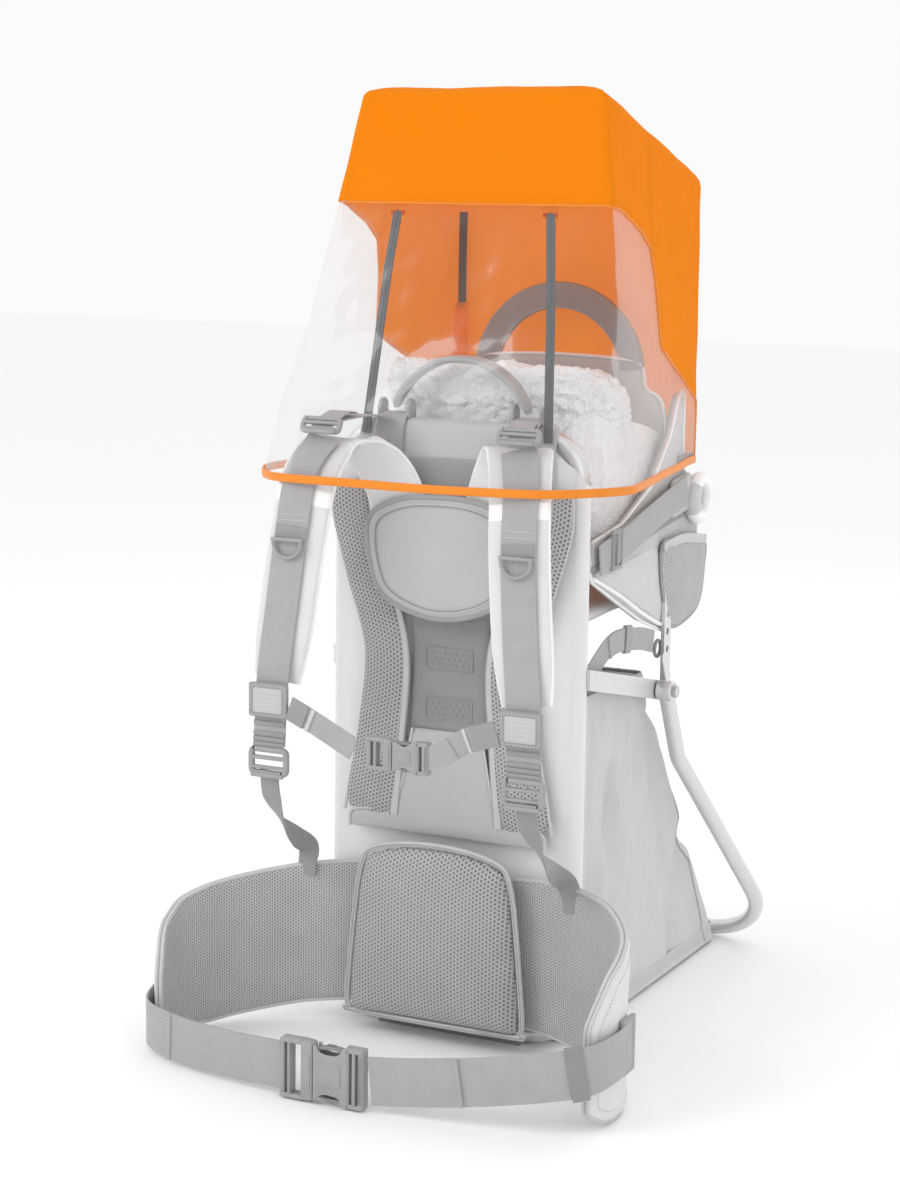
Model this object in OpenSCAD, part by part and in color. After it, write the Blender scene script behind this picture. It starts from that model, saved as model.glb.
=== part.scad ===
// Child carrier backpack with rain hood: tube frame, kickstand, seat, harness, hip belt.
// +Z is up, +X is the wearer's right seen from behind the harness, -Y faces the wearer.
// The origin is the middle of the base skid's flat underside.

/* [Frame] */
// Distance between the two upright tubes, centre to centre
frame_w = 272; // [260:1:280]
// Height of the back frame's top tube
frame_h = 655; // [645:1:665]
// Diameter of the frame tubes
tube_d = 20; // [16:1:22]
// Radius of the frame's corner bends
corner_r = 45; // [35:1:60]

/* [Kickstand] */
// Height of the kickstand's hinge
hinge_z = 360; // [350:1:366]
// Distance of the kickstand's hinge behind the back frame
hinge_y = 195; // [188:1:200]
// Distance of the kickstand's foot tube behind the back frame
stand_y = 468; // [450:1:480]
// Half the width between the kickstand's bends
stand_half_w = 212; // [200:1:220]
// Diameter of the kickstand's tube
stand_d = 18; // [16:1:18]

/* [Seat] */
// Half the outside width of the seat shell
shell_half_w = 146; // [144:1:148]
// Height of the seat's surface
seat_z = 470; // [455:1:475]
// Thickness of the padded walls
wall_t = 14; // [10:1:16]

/* [Harness] */
// Half the distance between the shoulder straps at the chest strap
strap_half_w = 146; // [140:1:148]
// Width of the shoulder webbing
web_w = 38; // [30:1:40]
// Width of the chest webbing
chest_web_w = 25; // [20:1:25]
// Width of the hip webbing
hip_web_w = 50; // [40:1:50]
// Thickness of the webbing
web_t = 2; // [1.5:0.1:2]

/* [Hood] */
// Height of the hood's hem
hem_z = 606; // [600:1:610]
// Height of the hood's front top edge
hood_z = 1008; // [1000:1:1010]
// Thickness of the hood's fabric
hood_t = 3; // [2:0.5:3]

/* [Hidden] */
$fn = 32;

tube_r = tube_d / 2;
stand_r = stand_d / 2;
half_w = frame_w / 2;
gap = 0.5;
skid_t = 2;
base_z = tube_r + skid_t;
split_z = 300;

// Layers of the back panel, measured along Y from the tube towards the wearer
panel_y = -tube_r - gap;
panel_t = 5;
centre_y = panel_y - panel_t - gap;
centre_t = 5;
pad_y = centre_y;
pad_t = 15;
yoke_y = pad_y - pad_t - 12;
yoke_t = 6;

// ---------- helpers ----------

function unit(v) = v / norm(v);

// Point on a Catmull-Rom curve through p, at parameter u from 0 to len(p) - 1
function on_curve(p, u) =
  let (n = len(p) - 1)
  let (k = min(floor(u), n - 1))
  let (f = u - k)
  let (b = p[k])
  let (c = p[k + 1])
  let (a = k > 0 ? p[k - 1] : 2 * b - c)
  let (d = k + 1 < n ? p[k + 2] : 2 * c - b)
  b + 0.5 * f * ((c - a) + f * ((2 * a - 5 * b + 4 * c - d) + f * (3 * (b - c) + d - a)));

function smooth(p, steps) = [
  for (i = [0 : steps * (len(p) - 1)]) on_curve(p, i / steps)
];

function tangent(p, i) = unit(p[min(i + 1, len(p) - 1)] - p[max(i - 1, 0)]);

function across(w, t) = unit(w - (w * t) * t);

function signed_power(v, e) = sign(v) * pow(abs(v), e);

// Closed ring of n points about p; s and u are the half width and half thickness axes
function oval(p, s, u, n, e) = [
  for (k = [0 : n - 1])
    p + s * signed_power(cos(360 * (k + 0.5) / n), e) + u * signed_power(sin(360 * (k + 0.5) / n), e)
];

// The two triangles between points i and j of one ring, which starts at a, and of the next ring
function side_triangles(a, n, i, j) = [[a + i, a + n + i, a + n + j], [a + i, a + n + j, a + j]];

// Solid through closed rings that have equal numbers of points
module loft(rings) {
  n = len(rings[0]);
  m = len(rings);
  polyhedron(
    points = [for (r = rings) each r],
    faces = concat(
      [[for (i = [0 : n - 1]) i]],
      [for (k = [0 : m - 2]) for (i = [0 : n - 1]) each side_triangles(k * n, n, i, (i + 1) % n)],
      [[for (i = [n - 1 : -1 : 0]) (m - 1) * n + i]]
    ),
    convexity = 8
  );
}

// Flat strap along the points p, its width lying along w
module strap(p, w, width, t) {
  loft([
    for (i = [0 : len(p) - 1])
      let (d = tangent(p, i))
      let (s = across(w, d))
      let (u = cross(d, s))
      [
        p[i] - s * width / 2 - u * t / 2,
        p[i] + s * width / 2 - u * t / 2,
        p[i] + s * width / 2 + u * t / 2,
        p[i] - s * width / 2 + u * t / 2
      ]
  ]);
}

// Padded strap with a rounded section; widths and thicks have one value for each point
module pad_strip(p, w, widths, thicks, n = 12) {
  loft([
    for (i = [0 : len(p) - 1])
      let (d = tangent(p, i))
      let (s = across(w, d))
      let (u = cross(d, s))
      oval(p[i], s * widths[i] / 2, u * thicks[i] / 2, n, 0.6)
  ]);
}

// Quarter bend of a tube in the XZ plane about centre (x, z), from angle a to b
module bend(x, z, bend_r, r, a, sweep) {
  translate([x, 0, z])
    rotate([90, 0, 0])
      rotate([0, 0, a])
        rotate_extrude(angle = sweep, $fn = 64)
          translate([bend_r, 0])
            circle(r = r);
}

// Draws its children at +X and mirrored at -X
module pair() {
  children();
  mirror([1, 0, 0])
    children();
}

// Slab with rounded outline in the XZ plane, from y towards -Y by t
module plate_xz(outline, y, t, round_r = 0) {
  translate([0, y, 0])
    rotate([90, 0, 0])
      linear_extrude(height = t)
        offset(r = round_r, $fn = 24)
          offset(delta = -round_r)
            polygon(outline);
}

// Slab in the YZ plane, from x towards +X by t
module plate_yz(outline, x, t) {
  translate([x, 0, 0])
    rotate([90, 0, 90])
      linear_extrude(height = t)
        polygon(outline);
}

// ---------- frame ----------

module back_frame() {
  color("silver")
  union() {
    pair()
      translate([half_w, 0, split_z])
        cylinder(h = frame_h - corner_r - split_z, r = tube_r);
    pair()
      bend(half_w - corner_r, frame_h - corner_r, corner_r, tube_r, 0, 90);
    translate([-half_w + corner_r, 0, frame_h])
      rotate([0, 90, 0])
        cylinder(h = frame_w - 2 * corner_r, r = tube_r);
  }
}

module base_frame() {
  color("silver")
  union() {
    pair()
      translate([half_w, 0, base_z + corner_r])
        cylinder(h = split_z - base_z - corner_r - gap, r = tube_r);
    pair()
      bend(half_w - corner_r, base_z + corner_r, corner_r, tube_r, 270, 90);
    translate([-half_w + corner_r, 0, base_z])
      rotate([0, 90, 0])
        cylinder(h = frame_w - 2 * corner_r, r = tube_r);
  }
}

skid_w = 170;
skid_d = 26;

// Rubber sleeve round the base tube, flat underneath
module base_skid() {
  color("dimgray")
  difference() {
    translate([-skid_w / 2, -skid_d / 2, 0])
      cube([skid_w, skid_d, base_z + tube_r + skid_t]);
    translate([-skid_w, 0, base_z])
      rotate([0, 90, 0])
        cylinder(h = 2 * skid_w, r = tube_r + 0.05);
  }
}

bar_t = 4;
bar_h = 22;
bar_x = shell_half_w + 2;
bar_front_z = 404;

// Flat bars that run back from the uprights to the kickstand hinges
module side_bars() {
  color("silver")
  pair()
    difference() {
      union() {
        plate_yz([
          [0, bar_front_z - bar_h / 2],
          [hinge_y, hinge_z - bar_h / 2],
          [hinge_y, hinge_z + bar_h / 2],
          [0, bar_front_z + bar_h / 2]
        ], bar_x, bar_t);
        translate([bar_x, hinge_y, hinge_z])
          rotate([0, 90, 0])
            cylinder(h = bar_t, r = bar_h / 2);
      }
      translate([bar_x - 1, hinge_y, hinge_z])
        rotate([0, 90, 0])
          cylinder(h = bar_t + 2, r = bolt_r + 0.05);
    }
}

bolt_r = 4;
stand_ear_x = bar_x + bar_t + 1;
upright_w = 20;
upright_y = hinge_y + 16;
upright_low_z = hinge_z + 6;
upright_top_z = 520;

// Flat bars that rise behind the seat, with a row of oval holes
module rear_uprights() {
  color("silver")
  pair()
    difference() {
      translate([bar_x, upright_y, upright_low_z])
        cube([bar_t, upright_w, upright_top_z - upright_low_z]);
      for (i = [0 : 4])
        translate([bar_x - 1, upright_y + upright_w / 2, upright_low_z + 16 + 20 * i])
          rotate([0, 90, 0])
            cylinder(h = bar_t + 2, r = 4);
    }
}

kink_y = 238;
kink_z = 275;
kink_r = 40;
leg_x = bar_x + bar_t + 10;
grip_t = 1.5;
foot_z = stand_r + grip_t;
stand_bend_r = 84;
// Normal of the plane that the lower U lies in
stand_normal = unit([0, kink_z - foot_z, stand_y - kink_y]);

// Points of the arc of radius r that rounds the corner b between a and c
function fillet(a, b, c, r, n) =
  let (u = unit(a - b))
  let (v = unit(c - b))
  let (half = acos(u * v) / 2)
  let (centre = b + unit(u + v) * r / sin(half))
  let (start = b + u * r / tan(half) - centre)
  [for (k = [0 : n])
    let (t = (180 - 2 * half) * k / n)
    centre + start * cos(t) - u * r * sin(t)];

// Centre line of the right half, from the hinge to the middle of the foot tube
stand_hinge = [leg_x, hinge_y, hinge_z];
stand_kink = [leg_x, kink_y, kink_z];
stand_corner = [stand_half_w, stand_y, foot_z];
stand_middle = [0, stand_y, foot_z];
stand_line = concat(
  [stand_hinge],
  fillet(stand_hinge, stand_kink, stand_corner, kink_r, 3),
  fillet(stand_kink, stand_corner, stand_middle, stand_bend_r, 10),
  [stand_middle]
);
// Where the foot tube's straight stretch ends
stand_straight_x = stand_line[len(stand_line) - 2][0];

module stand_tube() {
  pair()
    loft([
      for (i = [0 : len(stand_line) - 1])
        let (d = i == len(stand_line) - 1 ? [-1, 0, 0] : tangent(stand_line, i))
        let (side = across(stand_normal, d))
        oval(stand_line[i], side * stand_r, cross(d, side) * stand_r, 16, 1)
    ]);
}

// Bent tube that folds out behind, with a drilled ear at each hinge
module kickstand() {
  color("darkgray")
  difference() {
    union() {
      stand_tube();
      pair()
        translate([stand_ear_x, hinge_y, hinge_z])
          rotate([0, 90, 0])
            cylinder(h = 2 * (leg_x - stand_ear_x), r = stand_r + 2);
    }
    pair()
      translate([bar_x - 1, hinge_y, hinge_z])
        rotate([0, 90, 0])
          cylinder(h = 40, r = bolt_r + 0.05);
  }
}

grip_w = 30;

// Rubber sleeves on the foot tube, inboard of the bends
module stand_grips() {
  color("dimgray")
  pair()
    translate([stand_straight_x - grip_w - 2, stand_y, foot_z])
      rotate([0, 90, 0])
        difference() {
          cylinder(h = grip_w, r = stand_r + grip_t);
          translate([0, 0, -1])
            cylinder(h = grip_w + 2, r = stand_r + 0.05);
        }
}

// Bolts that the kickstand turns on, with domed heads outside
module pivot_bolts() {
  color("gray")
  pair()
    translate([bar_x - 4.5, hinge_y, hinge_z])
      rotate([0, 90, 0]) {
        cylinder(h = 32, r = bolt_r);
        cylinder(h = 4, r = 7);
        translate([0, 0, 29])
          cylinder(h = 3, r = 7);
      }
}

// ---------- back panel ----------

module front_panel() {
  color("white")
  plate_xz([
    [-149, 60], [149, 60], [149, 560], [143, 640], [-143, 640], [-149, 560]
  ], panel_y, panel_t, 10);
}

// Half width of the dark centre panel at a height
panel_waist = [[58, 236], [50, 300], [46, 380], [46, 440], [60, 500], [76, 560], [74, 628]];

module back_panel() {
  color("gray")
  plate_xz(concat(
    [for (p = panel_waist) [p[0], p[1]]],
    [for (i = [len(panel_waist) - 1 : -1 : 0]) [-panel_waist[i][0], panel_waist[i][1]]]
  ), centre_y, centre_t);
}

// Mesh pads that curve in at the waist on each side of the centre panel
pad_mid = [[92, 0, 244], [80, 0, 330], [74, 0, 420], [96, 0, 500], [114, 0, 560], [118, 0, 600]];
pad_widths = [62, 54, 50, 52, 50, 44];

module back_pads() {
  color("darkgray")
  pair()
    translate([0, pad_y - pad_t / 2, 0])
      pad_strip(smooth(pad_mid, 2), [1, 0, 0],
        [for (i = [0 : 10]) on_curve([for (w = pad_widths) [w, 0]], i / 2)[0]],
        [for (i = [0 : 10]) pad_t]);
}

module lower_back_panel() {
  color("lightgray")
  plate_xz([[-58, 238], [58, 238], [48, 300], [40, 336], [-40, 336], [-48, 300]],
    centre_y - centre_t - gap, 5);
}

lumbar_y = -36;
lumbar_t = 30;

// Crowned pad, wide at the bottom
module lumbar_pad() {
  color("gray")
  loft([
    for (k = [0 : 8])
      let (f = k / 8)
      let (z = 20 + 198 * f)
      let (w = 106 - 20 * f)
      let (edge = 0.35 + 0.65 * pow(sin(180 * (0.06 + 0.88 * f)), 0.5))
      oval([0, lumbar_y - lumbar_t / 2, z], [w * (0.8 + 0.2 * edge), 0, 0],
        [0, lumbar_t / 2 * edge, 0], 16, 0.6)
  ]);
}

// ---------- seat ----------

wall_inner = shell_half_w - wall_t;

module seat_cushion() {
  color("gainsboro")
  hull()
    pair()
      for (y = [40, 250])
        translate([wall_inner - 22, y, seat_z - 22])
          cylinder(h = 22, r = 16);
}

// Side view of a padded side wall, as points in Y and Z
wall_outline = [
  [14, 506], [90, 472], [160, 442], [233, 419], [296, 424], [322, 452], [326, 560],
  [316, 584], [276, 597], [275, 690], [258, 682], [236, 640], [180, 588], [100, 556], [14, 545]
];

module side_walls() {
  color("silver")
  pair()
    plate_yz(wall_outline, wall_inner, wall_t);
}

rear_low_y = 299;
rear_top_y = 258;
rear_low_z = 432;
rear_top_z = 728;

// Backrest panel that leans back towards its foot
module rear_wall() {
  color("silver")
  loft([
    for (k = [0 : 4])
      let (f = k / 4)
      let (y = rear_low_y + (rear_top_y - rear_low_y) * f)
      let (w = f < 0.8 ? wall_inner - 1 : 108)
      let (z = rear_low_z + (rear_top_z - rear_low_z) * f)
      [[-w, y - wall_t, z], [w, y - wall_t, z], [w, y, z], [-w, y, z]]
  ]);
}

arch_r = 90;
arch_w = 30;
arch_t = 10;
arch_z = 700;
arch_start = 24;

module headrest_arch() {
  color("darkgray")
  translate([0, rear_top_y - 2, arch_z])
    rotate([90, 0, 0])
      rotate([0, 0, arch_start])
        rotate_extrude(angle = 180 - 2 * arch_start, $fn = 48)
          translate([arch_r, arch_t / 2])
            square([arch_w, arch_t], center = true);
}

// Thick fleece round the front of the child's opening
fleece_path = [[-112, 170, 660], [-114, 110, 690], [-98, 52, 700], [-50, 34, 700], [0, 32, 702],
  [50, 34, 700], [98, 52, 700], [114, 110, 690], [112, 170, 660]];

module fleece_collar() {
  color("white")
  pad_strip(smooth(fleece_path, 2), [0, 0, 1], [for (i = [0 : 16]) 50], [for (i = [0 : 16]) 24], 10);
}

module child_harness() {
  color("lightgray")
  pair()
    strap(smooth([[52, 236, 690], [54, 236, 640], [50, 234, 580], [24, 232, 520]], 2),
      [1, 0, 0], 34, 8);
}

module child_buckle() {
  color("dimgray")
  translate([-13, 226, 484])
    cube([26, 12, 30]);
}

pocket_outline = [[200, 512], [216, 440], [236, 422], [292, 428], [318, 456], [322, 556], [300, 568], [240, 548]];

module mesh_pockets() {
  color("darkgray")
  pair()
    plate_yz(pocket_outline, shell_half_w + gap, 0.8);
}

module side_straps() {
  color("gray")
  pair()
    strap([[shell_half_w + 7.5, 16, 528], [shell_half_w + 7.5, 120, 548], [shell_half_w + 7.5, 262, 578]],
      [0, 0, 1], 34, 2);
}

module loop_rings() {
  color("white")
  pair()
    translate([shell_half_w + 8, 302, 564])
      rotate([90, 0, 90])
        rotate_extrude($fn = 40)
          translate([21, 0])
            circle(r = 4, $fn = 16);
}

// Webbing that holds the seat's underside back to the hinge bar
module foot_straps() {
  color("gray")
  pair()
    strap(smooth([[140, 16, 398], [142, 80, 428], [144, 150, 424], [144.5, 196, 414]], 3),
      [0, 0, 1], 25, 2);
}

module strap_rings() {
  color("dimgray")
  pair()
    translate([bar_x - 2.6, 208, 404])
      rotate([90, 0, 90])
        rotate_extrude($fn = 32)
          translate([9, 0])
            circle(r = 2, $fn = 16);
}

// Small plates with two screws that join the rear bar to the hinge bar
module link_plates() {
  color("silver")
  pair()
    translate([bar_x + bar_t + gap, 0, 0])
      rotate([90, 0, 90]) {
        linear_extrude(height = 2)
          hull() {
            translate([upright_y + upright_w / 2, upright_low_z + 4])
              circle(r = 7);
            translate([hinge_y + 13, hinge_z + 34])
              circle(r = 7);
          }
      }
}

// ---------- storage bag ----------

bag_w = 139;
bag_t = 4;
bag_low = 5;
bag_h = 375;
bag_front_y = 14;
bag_rear_y = 454;
// How far the bag's rear face comes forward over its height
bag_lean = 262;

// Closed outline of the bag at a height fraction f, shrunk inwards by s
function bag_ring(f, s) =
  let (z = bag_low + s + (bag_h - 2 * s) * f)
  let (w = bag_w - s)
  let (front = bag_front_y + s)
  let (rear = bag_rear_y - bag_lean * f - s)
  [[-w, front, z], [w, front, z], [w, rear, z], [-w, rear, z]];

module storage_bag() {
  color("silver")
  difference() {
    loft([for (k = [0 : 1]) bag_ring(k, 0)]);
    loft([for (k = [0 : 1]) bag_ring(k, bag_t)]);
    zip_slot();
  }
}

// The zip runs up the middle of the bag's rear face
zip_z = 90;
zip_travel = 180;
zip_slot_w = 8;
zip_lean = atan2(bag_h, -bag_lean);
zip_y = bag_rear_y - bag_lean * (zip_z - bag_low) / bag_h;

// Slab along the zip, w wide and l long, from depth d outside the bag's face and t thick
module along_zip(w, l, d, t) {
  translate([-w / 2, 0, 0])
    rotate([90, 0, 90])
      linear_extrude(height = w)
        translate([zip_y, zip_z])
          rotate(zip_lean)
            translate([0, -d])
              square([l, t]);
}

// Mouth of the bag, which the zip closes
module zip_slot() {
  along_zip(zip_slot_w, zip_travel + 10, 10, 30);
}

// Pull of the zip, on the bag's rear face
module zip_slider() {
  color("dimgray")
  along_zip(12, 16, 7, 6);
}

// ---------- shoulder harness ----------

yoke_outline = [
  [-86, 560], [-78, 500], [-52, 474], [0, 462], [52, 474], [78, 500], [86, 560], [52, 584],
  [0, 590], [-52, 584]
];

module yoke() {
  color("silver")
  plate_xz(yoke_outline, yoke_y, yoke_t, 8);
}

// Middle line of the right shoulder pad, from the yoke over the shoulder to the chest
pad_line = [
  [50, -37, 540], [58, -37, 588], [74, -46, 622], [92, -64, 640], [108, -88, 642], [119, -112, 612],
  [126, -126, 548], [134, -134, 470], [strap_half_w - 3, -138, 400]
];
pad_width = 64;
shoulder_t = 15;

module shoulder_pad() {
  pad_strip(smooth(pad_line, 2), [1, 0, 0],
    [for (i = [0 : 16]) pad_width * (i == 16 ? 0.8 : 1)],
    [for (i = [0 : 16]) i < 4 ? 9 : shoulder_t]);
}

module left_shoulder_pad() {
  color("gainsboro")
  mirror([1, 0, 0])
    shoulder_pad();
}

module right_shoulder_pad() {
  color("gainsboro")
  shoulder_pad();
}

// Webbing that lies on the pad's outer face and runs down to the ladder lock
web_line = [
  [111, -99, 651], [124, -121.5, 617], [129, -136, 549], [136, -143.5, 470],
  [strap_half_w - 3, -148, 400], [strap_half_w, -149, 332]
];

module shoulder_webbing() {
  color("gray")
  pair()
    strap(smooth(web_line, 3), [1, 0, 0], web_w, web_t);
}

// Buckle frame with a bar, w wide and h high, standing in the XZ plane
module ladder_lock(w, h, t) {
  difference() {
    translate([-w / 2, -t / 2, -h / 2])
      cube([w, t, h]);
    for (s = [-1, 1])
      translate([-w / 2 + 5, -t, s * h / 4 - h / 8])
        cube([w - 10, 2 * t, h / 4]);
  }
}

module lifter_buckles() {
  color("dimgray")
  pair()
    translate([112, -102, 664])
      rotate([-30, 0, 0])
        ladder_lock(48, 20, 6);
}

module load_lifters() {
  color("gray")
  pair()
    strap(smooth([[84, -16, 669], [98, -52, 669], [111, -90, 666]], 3), [1, 0, 0], 25, web_t);
}

lock_z = 314;

module ladder_locks() {
  color("dimgray")
  pair()
    translate([strap_half_w, -149, lock_z])
      ladder_lock(48, 30, 8);
}

module lower_webbing() {
  color("gray")
  pair()
    strap(smooth([[148, -146, 296], [150, -126, 258], [151, -90, 222], [152, -48, 202]], 3),
      [1, 0, 0], 22, web_t);
}

ring_x = 129.5;
ring_y = -143;
ring_z = 548;

// D-shaped ring that hangs from its bar at the top
module d_ring() {
  translate([ring_x, ring_y, ring_z]) {
    rotate([0, 90, 0])
      translate([0, 0, -18])
        cylinder(h = 36, r = 2);
    rotate([90, 0, 0])
      translate([0, -3, 0])
        rotate([0, 0, 180])
          rotate_extrude(angle = 180, $fn = 40)
            translate([16, 0])
              circle(r = 2, $fn = 16);
    for (s = [-1, 1])
      translate([s * 16, 0, -3])
        cylinder(h = 3, r = 2);
  }
}

module left_d_ring() {
  color("dimgray")
  mirror([1, 0, 0])
    d_ring();
}

module right_d_ring() {
  color("dimgray")
  d_ring();
}

// ---------- grab handle ----------

handle_x = 77;
handle_y = 0;
handle_z = 682;
pin_r = 3;

module grab_handle() {
  color("gray")
  union() {
    strap(smooth([[-handle_x, handle_y, handle_z], [-58, handle_y, 708], [-28, handle_y, 727],
      [0, handle_y, 731], [28, handle_y, 727], [58, handle_y, 708], [handle_x, handle_y, handle_z]], 2),
      [0, 1, 0], 28, 6);
    pair()
      translate([handle_x, handle_y, handle_z - 6])
        rotate([0, 90, 0]) {
          cylinder(h = 24, r = 7, center = true);
          cylinder(h = 38, r = pin_r, center = true);
        }
  }
}

module handle_anchors() {
  color("gray")
  pair()
    difference() {
      union() {
        translate([handle_x - 19, handle_y - 9, frame_h + tube_r + gap])
          cube([5, 18, 22]);
        translate([handle_x + 14, handle_y - 9, frame_h + tube_r + gap])
          cube([5, 18, 22]);
      }
      translate([handle_x - 20, handle_y, handle_z - 6])
        rotate([0, 90, 0])
          cylinder(h = 40, r = pin_r + 0.05);
    }
}

// ---------- chest strap ----------

chest_y = -152;
chest_z = 380;

// Fabric-covered sliders round the shoulder webbing
module sternum_sliders() {
  color("gray")
  pair()
    translate([strap_half_w - 25, chest_y - 5, chest_z - 18])
      cube([46, 6, 36]);
}

module chest_webbing_left() {
  color("gray")
  strap(smooth([[-strap_half_w + 31, chest_y - 2, chest_z - 4], [-90, chest_y - 6, chest_z - 16],
    [chest_x - 48, chest_y - 8, buckle_z]], 3), [0, 0, 1], chest_web_w, web_t);
}

module chest_webbing_right() {
  color("gray")
  strap(smooth([[chest_x + 37, chest_y - 8, buckle_z], [84, chest_y - 6, chest_z - 18],
    [strap_half_w - 29, chest_y - 2, chest_z - 6]], 3), [0, 0, 1], chest_web_w, web_t);
}

chest_x = 18;
buckle_z = 340;

// Female half of a side-release buckle; its mouth faces -X
module buckle_socket(l, h, t, mouth) {
  difference() {
    translate([0, -t / 2, -h / 2])
      cube([l, t, h]);
    translate([-1, -t / 2 + 2, -h / 2 + 3])
      cube([mouth + 1, t - 4, h - 6]);
    for (s = [-1, 1])
      translate([mouth - 14, -t, s * h / 2 - 4])
        cube([12, 2 * t, 8]);
  }
}

// Male half: body and middle tongue, entering towards +X
module buckle_plug(l, h, t, reach) {
  tongue_h = h - 28;
  translate([-l, -t / 2, -h / 2])
    cube([l - 0.4, t, h]);
  translate([-1, -t / 2 + 2.5, -tongue_h / 2])
    cube([reach, t - 5, tongue_h]);
}

// One sprung prong of the plug; side is 1 for the upper and -1 for the lower one
module buckle_prong(h, t, reach, side) {
  mirror([0, 0, side < 0 ? 1 : 0])
    translate([0, -t / 2 + 2.5, h / 2 - 9.5])
      cube([reach - 3, t - 5, 5.5]);
}

module chest_buckle_socket() {
  color("dimgray")
  translate([chest_x - 12, chest_y - 8, buckle_z])
    buckle_socket(40, 34, 11, 26);
}

module chest_buckle_plug() {
  color("dimgray")
  translate([chest_x - 12, chest_y - 8, buckle_z])
    buckle_plug(30, 34, 11, 22);
}

module chest_prong_upper() {
  color("dimgray")
  translate([chest_x - 12, chest_y - 8, buckle_z])
    buckle_prong(34, 11, 26, 1);
}

module chest_prong_lower() {
  color("dimgray")
  translate([chest_x - 12, chest_y - 8, buckle_z])
    buckle_prong(34, 11, 26, -1);
}

// ---------- hip belt ----------

// Plan of the right hip wing's middle line, from the lumbar pad to its tip
wing_plan = [[60, -26.5], [112, -28], [162, -42], [208, -74], [240, -112], [256, -148], [256, -182], [245, -210]];
wing_t = 14;
wing_top = [186, 186, 182, 176, 168, 158, 138, 96];
wing_low = [28, 26, 20, 12, 6, 4, 4, 12];

module hip_wing(rise) {
  path = smooth([for (p = wing_plan) [p[0], p[1], 0]], 2);
  loft([
    for (i = [0 : len(path) - 1])
      let (u = i / 2)
      let (low = on_curve([for (v = wing_low) [v, 0]], u)[0])
      let (top = on_curve([for (v = wing_top) [v, 0]], u)[0] + rise * min(1, u / 3))
      let (d = tangent(path, i))
      let (n = cross([0, 0, 1], d))
      oval([path[i][0], path[i][1], (low + top) / 2], n * wing_t / 2, [0, 0, (top - low) / 2], 12, 0.6)
  ]);
}

module left_hip_wing() {
  color("gray")
  mirror([1, 0, 0])
    hip_wing(-8);
}

module right_hip_wing() {
  color("gray")
  hip_wing(14);
}

hip_x = -20;
hip_y = -262;
hip_z = 33;

module hip_webbing_left() {
  color("gray")
  strap(smooth([[-266, -150, 44], [-266, -186, 39], [-251, -221, 34], [-204, -241, 31],
    [-140, -254, 31], [hip_x - 45, hip_y, hip_z]], 3), [0, 0, 1], hip_web_w, web_t);
}

module hip_webbing_right() {
  color("gray")
  strap(smooth([[hip_x + 56, hip_y, hip_z], [84, -257, 38], [150, -250, 48], [215, -238, 60],
    [254, -221, 68], [267.5, -188, 73], [267.5, -150, 76]], 3), [0, 0, 1], hip_web_w, web_t);
}

module hip_buckle_socket() {
  color("dimgray")
  translate([hip_x - 6, hip_y, hip_z])
    buckle_socket(56, 62, 14, 38);
}

module hip_buckle_plug() {
  color("dimgray")
  translate([hip_x - 6, hip_y, hip_z])
    buckle_plug(38, 62, 14, 34);
}

module hip_prong_upper() {
  color("dimgray")
  translate([hip_x - 6, hip_y, hip_z])
    buckle_prong(62, 14, 38, 1);
}

module hip_prong_lower() {
  color("dimgray")
  translate([hip_x - 6, hip_y, hip_z])
    buckle_prong(62, 14, 38, -1);
}

// ---------- rain hood ----------

hood_low_w = 211;
hood_low_y = -40;
hood_top_w = 140;
hood_top_y = 32;
hood_rear_w = 153;
hood_rear_y = 297;
hood_rear_top_z = 923;
visor_z = 893;
hem_h = 9;
tilt_y = 288;
tilt_z = 612;

// How far the film stands forward of the corners, as height and distance: it lies on the shoulder pads
bulge = [[hem_z, 96], [hem_z + 74, 92], [hem_z + 154, 44], [visor_z, 0], [hood_z, 0]];

// Horizontal section of the hood at a height, moved inwards by s
function hood_ring(z, b, s) =
  let (f = (z - hem_z) / (hood_z - hem_z))
  let (w = hood_low_w + (hood_top_w - hood_low_w) * f - s)
  let (y = hood_low_y + (hood_top_y - hood_low_y) * f + s)
  let (rw = hood_rear_w - s)
  let (ry = hood_rear_y - s)
  [
    [-w, y], [-0.88 * w, y - 0.55 * b], [-0.72 * w, y - 0.94 * b], [0, y - b],
    [0.72 * w, y - 0.94 * b], [0.88 * w, y - 0.55 * b], [w, y], [rw, ry], [-rw, ry]
  ];

// Height of the roof above a place: it slopes down from the front edge to the rear
function roof_z(y, s) = hood_z - s - (hood_z - hood_rear_top_z) * max(0, y - hood_top_y) / (hood_rear_y - hood_top_y);

// What lies above the sloping part of the roof
module above_roof(s) {
  past = hood_rear_y + 1;
  plate_yz([
    [hood_top_y, roof_z(hood_top_y, s)], [past, roof_z(past, s)], [past, hood_z + 1],
    [hood_top_y, hood_z + 1]
  ], -300, 600);
}

// Solid block of the hood's outside, moved inwards by s and starting at height low
module hood_block(s, low) {
  difference() {
    loft([
      for (k = [0 : len(bulge) - 1])
        let (z = k == 0 ? low : min(bulge[k][0], hood_z - s))
        [for (p = hood_ring(bulge[k][0], bulge[k][1], s)) [p[0], p[1], z]]
    ]);
    above_roof(s);
  }
}

module hood_shell(t) {
  difference() {
    hood_block(0, hem_z);
    hood_block(t, hem_z - 1);
  }
}

// Side view of what is clear: below the visor and ahead of the rear fabric
clear_outline = [
  [-200, hem_z + hem_h + gap], [-200, visor_z], [12, visor_z], [40, visor_z - 6], [86, visor_z - 25],
  [112, visor_z - 43], [124, visor_z - 80], [128, 745], [hood_rear_y - 12, 672],
  [hood_rear_y - 12, hem_z + hem_h + gap]
];

module clear_zone(s) {
  translate([-300, 0, 0])
    rotate([90, 0, 90])
      linear_extrude(height = 600)
        offset(delta = s)
          polygon(clear_outline);
}

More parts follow.
